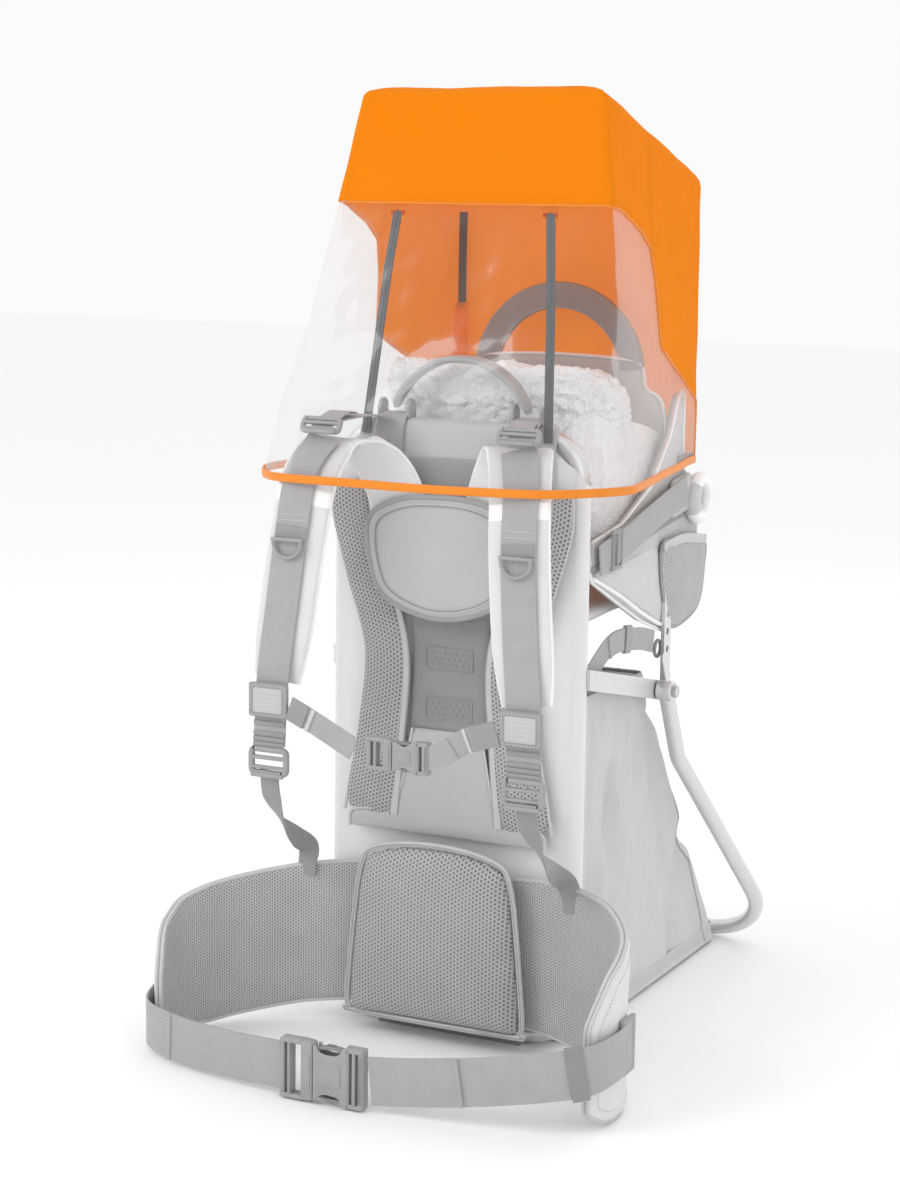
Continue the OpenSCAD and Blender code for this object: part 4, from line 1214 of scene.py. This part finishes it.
def ladder_lock(form, at, w, h, t, tilt=0.0, mat=0):
    """A ladder lock: a rounded frame with two cross bars and a lifting lip."""
    c, s = math.cos(tilt), math.sin(tilt)

    def place(u, v, d):
        return np.stack([at[0] + u, at[1] - d * c - v * s, at[2] + v * c - d * s], axis=-1)

    r = t * 0.42
    loop = round_corners([[-w / 2 + r, -h / 2 + r], [w / 2 - r, -h / 2 + r], [w / 2 - r, h / 2 - r],
                          [-w / 2 + r, h / 2 - r]], 5, 4)
    form.sweep(place(loop[:, 0], loop[:, 1], loop[:, 0] * 0), oval_section(t * 0.8, t, 10, 0.8),
               np.array([0, -s, c]) * 0.01 + [1, 0, 0.2], mat, None, True)
    for v, half in ((h * 0.12, 1.9), (-h * 0.2, 1.6)):
        form.block(box_outline(-w / 2 + 2, w / 2 - 2, v - half, v + half, 1), place, -t * 0.3, t * 0.42,
                   0.8, mat)
    lip = box_outline(-w / 2 + 5, w / 2 - 5, -h / 2 - 0.5, -h / 2 + 4, 1.5)
    form.block(lip, place, t * 0.2, t * 0.75, 0.7, mat)


# ---------- harness ----------

SHIELD = [[-86, 560], [-78, 500], [-52, 474], [0, 462], [52, 474], [78, 500], [86, 560], [52, 584],
          [0, 590], [-52, 584]]
PAD_LINE = [[50, -37, 540], [58, -37, 588], [74, -46, 622], [92, -64, 640], [108, -88, 642], [119, -112, 612],
            [126, -126, 548], [134, -134, 470], [143, -138, 400]]
WEB_LINE = [[111, -99, 651], [124, -121.5, 617], [129, -136, 549], [136, -143.5, 470], [143, -148, 400],
            [146, -149, 332]]


def shield():
    """The shield on the yoke, plain, with a padded rim."""
    outline = smooth_line(SHIELD, 6, closed=True)
    form = Form().plate(outline, facing(-45.6), 5, 6, 6, 2.6, fold=0.5, seed=2)
    rim = np.column_stack([outline[:, 0], np.full(len(outline), -46.4), outline[:, 1]])
    form.tube(rim, 3.2, 1, True)
    centre = np.array([0, 526])
    for share, r, mat in ((0.89, 0.9, 2), (0.865, 0.7, 1)):
        flat = centre + (outline - centre) * share
        depth = -48.6 - 1.5 * (1 - share) * 4
        form.tube(np.column_stack([flat[:, 0], np.full(len(flat), depth - 0.4), flat[:, 1]]), r, mat, True, 6)
    form.build("shield", [MAT["shield"], MAT["piping_dark"], MAT["binding"]], "harness", "grey_fabric",
               ["yoke"])


def shoulder_pad(side, name):
    line = smooth_line(PAD_LINE, 12) * [side, 1, 1]
    n = len(line)
    t = np.linspace(0, 8, n)
    width = np.where(t > 7, 64 - 12 * (t - 7) ** 2, 64)
    thick = np.interp(t, [0, 2, 3, 4.5, 7.4, 8], [7, 8.5, 9, 13.5, 13.5, 6])
    scale = np.column_stack([width, thick])
    split = int(n * 0.43)
    form = Form()
    lapel = line[:split + 2].copy()
    lapel[:, 1] += 1.5 * ripple(lapel, 30, 3)
    form.sweep(lapel, oval_section(1, 1, 30, 0.55), [1, 0, 0], 1, scale[:split + 2])
    form.sweep(line[split:], oval_section(1, 1, 30, 0.5), [1, 0, 0], 0, scale[split:])
    s = np.array([1, 0, 0])
    along = tangents(line)
    s = unit(s - (along @ s)[:, None] * along)
    for edge in (-1, 1):
        form.tube(line + s * (edge * width * 0.5)[:, None], 1.7, 2, sides=8)
    z = line[:, 2]
    band = (z < 601) & (z > 582) & (np.arange(n) > n // 2)
    form.sweep(line[band], oval_section(1, 1, 30, 0.5), [1, 0, 0], 3, scale[band] + 0.7)
    piece = form.build(name + "_shoulder_cushion",
                       [MAT["pad"], MAT["lapel"], MAT["piping_light"], MAT["reflective"]],
                       "harness", "pad_fabric", [name + "_shoulder_pad"])


def shoulder_web(side, name):
    """Webbing on the pad, with the folded loop that holds the ring and stitched bars."""
    line = smooth_line(WEB_LINE, 12) * [side, 1, 1]
    form = Form().web(line, [1, 0, 0], 38, 1.9)
    z = line[:, 2]
    loop = line[(z < 566) & (z > 544)] + [0, -1.8, 0]
    form.web(loop, [1, 0, 0], 36, 2.2, 1)
    for height in (572, 568):
        k = int(np.argmin(abs(z - height)))
        bar = line[k] + np.outer(np.linspace(-16, 16, 14), [1, 0, 0]) + [0, -1.4, 0]
        form.stitches(bar, 2, 2.0, 2.6, 0.6)
    for height in (352, 344, 336, 328):
        k = int(np.argmin(abs(z - height)))
        fold = np.array([line[k] + [0, -1.6, 2], line[k] + [0, -2.6, 0], line[k] + [0, -1.4, -2.2]])
        form.web(fold, [1, 0, 0], 37, 1.6, 1)
    form.build(name + "_shoulder_web", [MAT["web"], MAT["web_dark"], MAT["thread"]], "harness", "webbing",
               ["shoulder_webbing"])


def harness_hardware():
    """Ladder locks, load lifters and the twisted lower straps."""
    form = Form()
    for side in (-1, 1):
        ladder_lock(form, (side * 112, -102, 664), 48, 20, 6, math.radians(-30))
    form.build("lifter_locks", [MAT["plastic"]], "harness", "buckle_plastic", ["lifter_buckles"])
    form = Form()
    for side in (-1, 1):
        ladder_lock(form, (side * 146, -150, 314), 48, 32, 8)
    form.build("strap_locks", [MAT["plastic"]], "harness", "buckle_plastic", ["ladder_locks"])
    for side, name in ((-1, "left"), (1, "right")):
        line = smooth_line([[84, -16, 669], [98, -52, 671], [111, -90, 667], [112, -101, 663]],
                           10) * [side, 1, 1]
        form = Form().web(line, [1, 0, 0], 25, 1.8)
        tail = smooth_line([[110, -94, 669], [106, -74, 676], [101, -60, 674]], 8) * [side, 1, 1]
        form.web(tail, [1, 0, 0], 25, 1.6, 0)
        strap = form.build(name + "_load_lifter", [MAT["web"]], None, "webbing",
                           ["load_lifters"] if side > 0 else [])
        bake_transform(strap)
        line = smooth_line([[147, -148, 304], [149, -138, 272], [150.5, -114, 240], [151, -82, 217],
                            [153, -52, 199], [157, -47, 180], [158, -47, 166]], 10) * [side, 1, 1]
        turn = np.clip(np.linspace(-0.25, 1.3, len(line)), 0, 1)[:, None] * math.pi
        across = np.cos(turn) * [1, 0, 0] + np.sin(turn) * unit(np.cross(tangents(line), [1, 0, 0]))
        form = Form().web(line, across, 22, 1.7)
        strap = form.build(name + "_lower_strap", [MAT["web_dark"]], None, "webbing",
                           ["lower_webbing"] if side > 0 else [])
        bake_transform(strap)


CHEST = (6, -160, 340)


def chest_strap():
    """The two stitched sleeves and both lengths of the chest strap."""
    form = Form()
    for side in (-1, 1):
        x = side * 144
        outline = round_corners([[x - 23, 362], [x + 23, 362], [x + 23, 398], [x - 23, 398]], 3, 3)
        form.block(outline, facing(-151.5), 0, 5.4, 1.6)
        patch = round_corners([[x - 17, 367], [x + 17, 367], [x + 17, 393], [x - 17, 393]], 2, 3)
        form.block(patch, facing(-156.4), 0, 1.1, 0.5, 1)
        inset = round_corners([[x - 20.5, 364.5], [x + 20.5, 364.5], [x + 20.5, 395.5], [x - 20.5, 395.5]],
                              2, 3)
        form.stitches(np.column_stack([inset[:, 0], np.full(len(inset), -157.0), inset[:, 1]]), 2,
                      closed=True)
        for k in range(5):
            z = 371 + 4.5 * k
            form.stitches([[x - 13, -157.7, z], [x + 13, -157.7, z]], 2, 3, 4.2, 0.5)
    form.build("strap_sleeves", [MAT["web_dark"], MAT["shield"], MAT["thread"]], "chest_strap", "webbing",
               ["sternum_sliders"])
    left = smooth_line([[-118, -155, 375], [-90, -158, 364], [-40, -160.5, 341]], 10)
    form = Form().web(left, [0, 0, 1], 25, 1.8)
    form.web(at_length(left, np.linspace(0, 22, 5)) + [0, -1.6, 0], [0, 0, 1], 26, 2.2, 1)
    form.web(at_length(left, np.linspace(26, 30, 3)) + [0, -1.8, 0], [0, 0, 1], 25.5, 2.0, 2)
    strap = form.build("chest_strap_left", [MAT["web"], MAT["web_dark"], MAT["binding"]], None, "webbing",
                       ["chest_webbing_left"])
    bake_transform(strap)
    right = smooth_line([[42, -160, 340], [60, -161.5, 347], [84, -158, 362], [118, -154.5, 374]], 10)
    form = Form().web(right, [0, 0, 1], 25, 1.8)
    form.web(at_length(right, np.linspace(0, 34, 7)) + [0, -1.7, 0], [0, 0, 1], 25, 1.6, 0)
    form.web(at_length(right, np.linspace(58, lengths(right)[-1], 5)) + [0, -1.7, 0], [0, 0, 1], 26, 2.2, 1)
    form.web(at_length(right, np.linspace(50, 53, 3)) + [0, -1.8, 0], [0, 0, 1], 25.5, 2.0, 2)
    form.build("chest_strap_right", [MAT["web"], MAT["web_dark"], MAT["binding"]], "chest_strap", "webbing",
               ["chest_webbing_right"])


def handle():
    """The grab handle and the stitched bases that it turns in."""
    line = smooth_line([[-77, 0, 678], [-72, -1, 690], [-56, -1, 710], [-28, -1, 727], [0, -1, 731],
                        [28, -1, 727], [56, -1, 710],
                        [72, -1, 690], [77, 0, 678]], 8)
    t = abs(np.linspace(-1, 1, len(line)))
    form = Form().sweep(line, oval_section(1, 1, 20, 0.7), [0, 1, 0], 0,
                        np.column_stack([26 - 14 * t ** 6, 8 - 3.5 * t ** 2]))
    for side in (-1, 1):
        hem = line + np.outer(10.5 - 6.0 * t ** 6, [0, side, 0])
        form.stitches(hem[6:-6] + [0, 0, 2.6], 1)
    form.build("grab_webbing", [MAT["web"], MAT["thread"]], "handle", "webbing", ["grab_handle"])
    form = Form()
    for side in (-1, 1):
        line = smooth_line([[77, 9, 668], [77, 1, 672], [77, -9, 668.5], [77, -15.5, 656], [77, -18.2, 640],
                            [77, -18.8, 612]], 6) * [side, 1, 1]
        form.web(line, [1, 0, 0], 33, 2.2)
        for z in (646, 641, 618):
            form.stitches([[side * 77 - 14, -19.8, z], [side * 77 + 14, -19.8, z]], 1, 2.2, 3, 0.55)
        for x in (60.5, 93.5):
            cheek = round_corners([[-9, 666], [9, 666], [9, 682], [3, 687], [-3, 687], [-9, 682]], 4, 3)
            face = lambda u, v, w, x=x: np.stack([side * (x + w), u, v], axis=-1)
            form.block(cheek, face, -2.2, 2.2, 1)
    form.build("handle_bases", [MAT["web"], MAT["thread"]], "carrier", "webbing", ["handle_anchors"])


tube_wrap()
top_cover()
back_panels()
lumbar()
for wing_side, wing_name in ((-1, "left"), (1, "right")):
    hip_wing(wing_side, wing_name)
    shoulder_pad(wing_side, wing_name)
    shoulder_web(wing_side, wing_name)
hip_belt()
side_release("hip", HIP, 56, 38, 62, 14, 38, 34, "carrier")
side_release("chest", CHEST, 40, 30, 34, 11, 26, 22, "chest_strap")
shield()
harness_hardware()
chest_strap()
handle()

# ---------- seat shell ----------

WALL = [[14, 506], [90, 472], [160, 442], [233, 419], [296, 424], [322, 452], [326, 560], [316, 584],
        [276, 597],
        [275, 690], [258, 682], [236, 640], [180, 588], [100, 556], [14, 545]]


def sideways(side, x):
    """Puts an outline drawn in Y and Z on the shell's side, raised outwards."""
    return lambda u, v, w: np.stack([side * (x + w), u, v], axis=-1)


def side_wall(side, name):
    face = sideways(side, 139)
    outline = round_corners(WALL, 7, 3)
    # The wall's inner face takes the darker copy of the grey nylon, as painted shade.
    form = Form().plate(outline, face, 11.5, 6, 8, 0.9, 0, 1, fold=0.7, seed=11 + side)
    rim = evenly(outline, 5, closed=True)
    form.tube(face(rim[:, 0], rim[:, 1], np.full(len(rim), 4.4)), 1.8, 2, True, 8)
    out = lambda line, w: face(np.asarray(line, float)[:, 0], np.asarray(line, float)[:, 1],
                               np.full(len(line), float(w)))
    collar = smooth_line([[12, 533], [80, 541], [141, 549], [230, 560], [312, 566]], 6)
    form.web(out(collar, 7.4), [0, -0.1, 1], 25, 1.4, 3)
    lower = collar - [0, 15]
    form.web(out(lower, 7.6), [0, -0.1, 1], 8, 1.6, 4)
    form.stitches(out(collar + [0, 9], 8.3), 5)
    curve = smooth_line([[16, 508], [90, 480], [160, 450], [233, 426], [292, 430]], 8)
    form.tube(out(curve, 7.2), 2.6, 2, sides=8)
    triangle = smooth_line([[20, 512], [110, 516], [198, 516], [222, 462], [232, 426], [190, 442],
                            [110, 476]], 5, True)
    form.plate(triangle, sideways(side, 145.2), 2.6, 4, 7, 1.2, 7, fold=0.5, seed=21 + side)
    form.stitches(out(smooth_line([[30, 509], [110, 509], [190, 509]], 6), 148.3 - 139), 5)
    wing = smooth_line([[274, 598], [275, 640], [273, 686]], 6)
    form.tube(out(wing, 2), 2.2, 2, sides=8)
    form.build(name + "_side_wall",
               [MAT["grey"], MAT["painted_shade_grey"], MAT["piping_light"], MAT["shield"], MAT["dark"],
                                     MAT["thread"], MAT["panel"], MAT["bag"]], "carrier", "grey_fabric", [
                                         "side_walls"])
    pocket = smooth_line([[202, 520], [262, 520], [334, 512], [336, 480], [326, 446], [300, 430],
                          [240, 424], [214, 452]], 5, True)
    form = Form().plate(pocket, sideways(side, 149.5), 3, 8, 7, 7, fold=0.8, seed=31)
    rim = evenly(pocket, 5, closed=True)
    form.tube(face(rim[:, 0], rim[:, 1], np.full(len(rim), 10.6)), 2.0, 1, True, 8)
    mouth = smooth_line([[203, 519], [262, 522], [334, 513]], 8)
    form.web(out(mouth, 13.4), [0, 0, 1], 11, 1.8, 2)
    form.stitches(out(mouth - [0, 3], 14.6), 3)
    form.build(name + "_mesh_pocket", [MAT["fine_mesh"], MAT["piping_dark"], MAT["binding"], MAT["thread"]],
               "carrier",
               "mesh_fabric", ["mesh_pockets"])
    line = smooth_line([[14, 528], [70, 538], [120, 548], [190, 563], [262, 578]], 6)
    form = Form().web(out(line, 15.4), [0, 0, 1], 33, 1.8)
    form.web(out(at_length(line, np.linspace(40, 105, 8)), 17.2), [0, 0, 1], 33, 1.6, 0)
    for d, half in ((30, 1.6), (41, 1.6), (52, 1.6)):
        bar = at_length(line, [d])[0]
        form.block(box_outline(bar[0] - half, bar[0] + half, bar[1] - 19, bar[1] + 19, 1), face, 14.5, 19.5,
                   0.9, 1)
    for v in (-19, 19):
        mid = at_length(line, [41])[0]
        form.block(box_outline(mid[0] - 13, mid[0] + 13, mid[1] + v - 2.2, mid[1] + v + 2.2, 1), face, 14.5,
                   19, 0.9, 1)
    patch = round_corners([[222, 548], [276, 554], [280, 596], [226, 590]], 9, 4)
    form.block(patch, face, 8.5, 14.3, 1.4, 2)
    inset = np.array([251, 572]) + (patch - [251, 572]) * 0.86
    form.stitches(out(inset, 14.5), 3, closed=True)
    form.build(name + "_side_strap", [MAT["web"], MAT["plastic"], MAT["shield"], MAT["thread"]], "carrier",
               "webbing",
               ["side_straps"])
    ring = arc((302, 564), 21, 0, 354, 40)
    form = Form().sweep(out(ring, 8 + 7), round_section(1, 14), [1, 0, 0], 0,
                        np.column_stack([[8.6] * 40, [8.6] * 40]), True)
    cover = out(arc((302, 564), 21, 140, 215, 12), 15)
    form.sweep(cover, round_section(1, 14), [1, 0, 0], 1, np.column_stack([[10.4] * 12, [10.4] * 12]))
    form.build(name + "_loop", [MAT["piping_light"], MAT["binding"]], "carrier", "white_cord", ["loop_rings"])
    line = smooth_line([[140, 16, 398], [142, 80, 428], [144, 150, 424], [144.5, 196, 414]],
                       10) * [side, 1, 1]
    form = Form().web(line, [0, 0, 1], 25, 1.8)
    form.web(at_length(line, np.linspace(62, 100, 6)) + [side * 1.8, 0, 0], [0, 0, 1], 25, 1.7, 0)
    keeper = at_length(line, np.linspace(104, 118, 3)) + [side * 0.9, 0, 0]
    form.web(keeper, [0, 0, 1], 31, 5.4, 1)
    form.build(name + "_foot_strap", [MAT["web"], MAT["plastic"]], "carrier", "webbing", ["foot_straps"])


def seat_shell():
    """Back of the seat, the headrest's bow and the seat pad."""
    face = lambda u, v, w: np.stack([u, 292 - (v - 432) * 41 / 296 + w, v], axis=-1)
    half = [[130, 440], [130, 560], [129, 640], [124, 676], [106, 690], [100, 716], [60, 722], [0, 724]]
    half = smooth_line(half, 4)
    outline = round_corners(np.concatenate([half, half[-2::-1] * [-1, 1]]), 6, 2)
    form = Form().plate(outline, face, 11, 8, 8, 1.5, 0, 1, fold=0.8, seed=41)
    hem = face(half[:, 0], half[:, 1], half[:, 0] * 0 - 4)
    form.tube(np.concatenate([hem, hem[-2::-1] * [-1, 1, 1]]), 2, 2, sides=8)
    for z in (600, 604):
        form.stitches(face(np.linspace(-118, 118, 30), np.full(30, float(z)), np.full(30, -7.2)), 3)
    form.build("seat_back", [MAT["panel"], MAT["grey"], MAT["piping_light"], MAT["thread"]], "carrier",
               "grey_fabric",
               ["rear_wall"])
    bow = arc((0, 700), 90, 6, 174, 50)
    line = np.column_stack([bow[:, 0], np.full(50, 251.0), bow[:, 1]])
    form = Form().sweep(line, oval_section(30, 9.4, 26, 0.6), [0, 0, 1])
    for r in (77, 103):
        edge = arc((0, 700), r, 6, 174, 50)
        form.tube(np.column_stack([edge[:, 0], np.full(50, 248.2), edge[:, 1]]), 1.3, 1, sides=7)
    piece = form.build("headrest_bow", [MAT["dark"], MAT["piping_dark"]], "carrier", "dark_fabric",
                       ["headrest_arch"])
    half = [[112, 26], [124, 60], [125, 140], [124, 220], [112, 258]]
    side = smooth_line(half, 6)
    outline = np.concatenate([side, side[::-1] * [-1, 1]])
    form = Form().plate(outline, lambda u, v,
                        w: np.stack([u, v, 459 + w - 0.0006 * (v - 150) ** 2 * 0.4],
                                    axis=-1), 15, 11, 8, 3.5)
    inflated(form, "seat_pad", [MAT["panel"]], "carrier", "grey_fabric", ["seat_cushion"], cap=3,
             weave_axes=(0, 1))


def fleece():
    """The fleece roll round the cockpit and the lining that hangs from it into the seat."""
    path = [[-112, 170, 662], [-114, 110, 690], [-98, 52, 700], [-50, 36, 702], [0, 34, 704], [50, 36, 702],
            [98, 52, 700],
            [114, 110, 690], [112, 170, 662]]
    line = evenly(smooth_line(path, 8), 3.0)
    n = len(line)
    end = np.clip(np.minimum(np.arange(n), n - 1 - np.arange(n)) / 6, 0, 1) ** 0.5
    size = np.column_stack([48 * (0.5 + 0.5 * end), 25 * (0.5 + 0.5 * end)])
    form = Form().sweep(line, oval_section(1, 1, 56, 0.8), [0, 0, 1], 0, size)
    points = form.points[0]
    nearest = line[np.argmin(((points[:, None] - line[None]) ** 2).sum(2), axis=1)]
    away = unit(points - nearest)
    lumps = 2.6 * ripple(points, 17, 9) + 1.7 * ripple(points, 8, 10)
    form.points[0] = points + away * lumps[:, None]
    upper = [[122, 252, 640], [118, 210, 652], [112, 170, 662], [114, 110, 684], [98, 52, 692],
             [50, 36, 694], [0, 34, 696]]
    lower = [[129, 258, 560], [130, 210, 556], [130, 170, 552], [130, 110, 545], [122, 52, 540],
             [60, 24, 560], [0, 22, 565]]
    rims = []
    for half in (upper, lower):
        half = np.array(half, float)
        rims.append(smooth_line(np.concatenate([half, half[-2::-1] * [-1, 1, 1]]), 12)[:, None])
    t = np.linspace(0, 1, 34)[:, None]
    lining = rims[0] * (1 - t) + rims[1] * t
    lining[..., 1] += 2.4 * ripple(lining, 15, 61) + 3 * ripple(lining, 60, 62)
    form.cloth(lining, 6)
    piece = form.build("fleece_roll", [MAT["fleece"]], "carrier", "fleece", ["fleece_collar"])


def child_straps():
    """The child's shoulder straps and their clip."""
    form = Form()
    for side in (-1, 1):
        line = smooth_line([[52, 236, 690], [54, 236, 640], [50, 234, 580], [24, 232, 520]],
                           10) * [side, 1, 1]
        size = np.column_stack([np.full(len(line), 34.0), np.full(len(line), 8.0)])
        form.sweep(line, oval_section(1, 1, 20, 0.6), [1, 0, 0], 0, size)
        form.tube(line + [16.5, -0.5, 0], 1.1, 1, sides=6)
        form.tube(line + [-16.5, -0.5, 0], 1.1, 1, sides=6)
    piece = form.build("child_shoulder_straps", [MAT["shield"], MAT["piping_dark"]], "carrier",
                       "pad_fabric", ["child_harness"])
    form = Form().block(round_corners([[-13, 484], [13, 484], [13, 514], [-13, 514]], 5, 4), facing(232),
                        -6, 5, 2)
    form.block(round_corners([[-6, 490], [6, 490], [6, 503], [-6, 503]], 3, 4), facing(227), 0, 1.2, 0.5, 1)
    form.block(round_corners([[-10, 507], [10, 507], [10, 510], [-10, 510]], 1, 3), facing(227), 0, 1.0,
               0.4, 1)
    form.build("child_clip", [MAT["plastic"], MAT["plastic_dark"]], "carrier", "buckle_plastic",
               ["child_buckle"])


# ---------- storage bag, zip and kickstand ----------

BAG_W, BAG_LOW, BAG_H, BAG_FRONT, BAG_REAR, BAG_LEAN = 139, 5, 375, 14, 454, 262


def bag_corners(f):
    """Corners of the bag's outline at a share f of its height, from the middle of the front."""
    rear = BAG_REAR - BAG_LEAN * f
    corners = [[0, BAG_FRONT], [BAG_W, BAG_FRONT], [BAG_W, rear], [0, rear], [-BAG_W, rear],
               [-BAG_W, BAG_FRONT]]
    return np.array(corners), BAG_LOW + BAG_H * f


def folds_with_stand(piece):
    """Gives the piece its own copy of its mesh."""
    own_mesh(piece)


def storage_bag():
    """The bag: a creased shell with a hem, a base, a lid and rear seams."""
    rows = []
    heights = np.concatenate([[0, 0.004, 0.012], np.linspace(0.03, 1, 64)])
    for f in heights:
        corners, z = bag_corners(f)
        ring = round_corners(corners, 13 - 4 * f, 5)
        ring = np.concatenate([[[0, BAG_FRONT]], evenly(np.concatenate([ring, ring[:1]]), 2.0)])
        start = int(np.argmin(abs(ring[:, 0]) + (ring[:, 1] > BAG_FRONT + 30) * 1000))
        ring = np.roll(ring[1:], -start, axis=0)
        total = lengths(np.concatenate([ring, ring[:1]]))[-1]
        shares = at_length(np.concatenate([ring, ring[:1]]), np.linspace(0, total, 181)[:-1])
        rows.append(np.column_stack([shares, np.full(180, z)]))
    grid = np.array(rows).transpose(1, 0, 2)
    centre = np.array([0, 150, 0])
    away = grid - centre
    away[..., 2] = 0
    away = unit(away)
    f = (grid[..., 2] - BAG_LOW) / BAG_H
    hang = ripple(grid, 90, 51, (1, 1, 0.3)) * 5.5 + ripple(grid, 38, 52, (1, 1, 0.35)) * 2.4
    hang += 7 * (0.45 - abs(ripple(grid, 75, 53, (1, 1, 0.35))))
    soft = np.clip(f * 12, 0, 1) * np.clip((1 - f) * 9, 0, 1)
    sag = 2.4 * np.sin(np.pi * np.clip(f, 0, 1)) ** 2
    crease = -5 * np.exp(-((grid[..., 1] - 38 - 22 * (f - 0.7)) / 9) ** 2) * np.clip((f - 0.45) * 5, 0, 1)
    slot = np.exp(-((grid[..., 0]) / 22) ** 2) * (grid[..., 1] > 120)
    push = (soft * (hang + crease) - sag - 3.4 - 1.0 * abs(hang) * soft) * (1 - 0.9 * slot) - 1.0 * slot
    grid = grid + away * push[..., None]
    form = Form().cloth(grid, 1.6, closed=True)
    low = grid[:, 3] + away[:, 3] * 1.2
    form.web(low + [0, 0, 3], [0, 0, 1], 15, 1.3, 1)
    form.stitches(low + away[:, 3] * 0.9 + [0, 0, 9], 2, 3, 4.4, 0.5, closed=True)
    bottom = evenly(round_corners(bag_corners(0)[0] * 0.985 + [0, 3], 13, 4), 9, closed=True)
    form.plate(bottom, lambda u, v, w: np.stack([u, v, 8 + w], axis=-1), 3, 6, 16, 0.4, 1)
    lid = evenly(round_corners(bag_corners(1)[0] * 0.97 + [0, 3], 9, 4), 9, closed=True)
    form.plate(lid, lambda u, v, w: np.stack([u, v, 376 + w], axis=-1), 3, 6, 12, 0.6, 0)
    for side in (-1, 1):
        k = int(np.argmin(abs(grid[:, 30, 0] - side * 132)
                          + abs(grid[:, 30, 1] - (BAG_REAR - BAG_LEAN * 0.46) + 6)))
        form.tube(grid[k, 2:] + away[k, 2:] * 0.8, 1.5, 3, sides=7)
    bag = form.build("bag_cloth", [MAT["bag"], MAT["grey"], MAT["thread"], MAT["piping_dark"]], "carrier",
                     "grey_fabric",
                     ["storage_bag"])
    folds_with_stand(bag)


def zip_line():
    """The zip up the bag's rear face, and its slider."""
    lean = math.atan2(BAG_H, -BAG_LEAN)
    up = np.array([0, math.cos(lean), math.sin(lean)])
    out = np.array([0, math.sin(lean), -math.cos(lean)])
    start = np.array([0, BAG_REAR - BAG_LEAN * (90 - BAG_LOW) / BAG_H, 90])
    along = lambda a, b, d, n=24: start + np.outer(np.linspace(a, b, n), up) + out * d
    form = Form()
    for s in (-1, 1):
        form.web(along(-16, 214, 0.2) + [s * 9, 0, 0], [1, 0, 0], 13, 1.4, 0)
        form.stitches(along(-14, 212, 1.1, 40) + [s * 12, 0, 0], 2)
    for k in range(58):
        for s in (-1, 1):
            at = start + up * (-14 + 4 * k + (2 if s > 0 else 0)) + [s * 1.1, 0, 0]
            form.tube([at - [1.3, 0, 0], at + [1.3, 0, 0]], 0.9, 1, sides=6)
    piece = form.build("zip_tape", [MAT["dark"], MAT["plastic_dark"], MAT["thread_dark"]], "carrier",
                       "grey_fabric")
    folds_with_stand(piece)

    def place(u, v, w):
        across = np.multiply.outer(u, [1, 0, 0])
        return start + np.multiply.outer(v, up) + np.multiply.outer(w, out) + across

    form = Form().block(round_corners([[-5, -7], [5, -7], [4, 7], [-4, 7]], 2.5, 4), place, 1.2, 5, 1)
    form.block(round_corners([[-2.5, -5], [2.5, -5], [2.5, 3], [-2.5, 3]], 1.5, 3), place, 4.6, 6.4, 0.6)
    form.block(round_corners([[-3.4, -18], [3.4, -18], [2.6, -2], [-2.6, -2]], 2, 3), place, 6, 7.6, 0.6, 1)
    pull = form.build("zip_tab", [MAT["steel"], MAT["web_dark"]], "zip_pull", "buckle_plastic",
                      ["zip_slider"])
    folds_with_stand(pull)


def kickstand():
    """The bent tube of the kickstand, with the eyes that its bolts go through."""
    corner = np.array([212, 468, 10.5])
    kink, hinge, middle = np.array([162, 238, 275]), np.array([162, 195, 360]), np.array([0, 468, 10.5])

    def turn(a, b, c, radius, n):
        u, v = unit(a - b), unit(c - b)
        angle = math.acos(float(u @ v)) / 2
        centre = b + unit(u + v) * radius / math.sin(angle)
        first = b + u * radius / math.tan(angle) - centre
        t = np.linspace(0, math.pi - 2 * angle, n)
        return centre + np.outer(np.cos(t), first) - np.outer(np.sin(t), u) * radius

    half = np.concatenate([[hinge], turn(hinge, kink, corner, 40, 9), turn(kink, corner, middle, 84, 26),
                           [middle]])
    line = evenly(np.concatenate([half, half[-2::-1] * [-1, 1, 1]]), 6)
    form = Form().tube(line, 9, sides=24)
    for side in (-1, 1):
        face = lambda u, v, w, side=side: np.stack([side * (162 + w), u, v], axis=-1)
        form.block(arc((195, 360), 11.4, 0, 354, 30), face, -9, 9, 1.6)
        form.block(arc((195, 360), 6.6, 0, 354, 24), face, 8.6, 10.6, 0.8, 1)
    form.build("stand_bow", [MAT["metal"], MAT["metal_dark"]], "kickstand", "stand_metal", ["kickstand"])


for wall_side, wall_name in ((-1, "left"), (1, "right")):
    side_wall(wall_side, wall_name)
seat_shell()
fleece()
child_straps()
storage_bag()
zip_line()
kickstand()
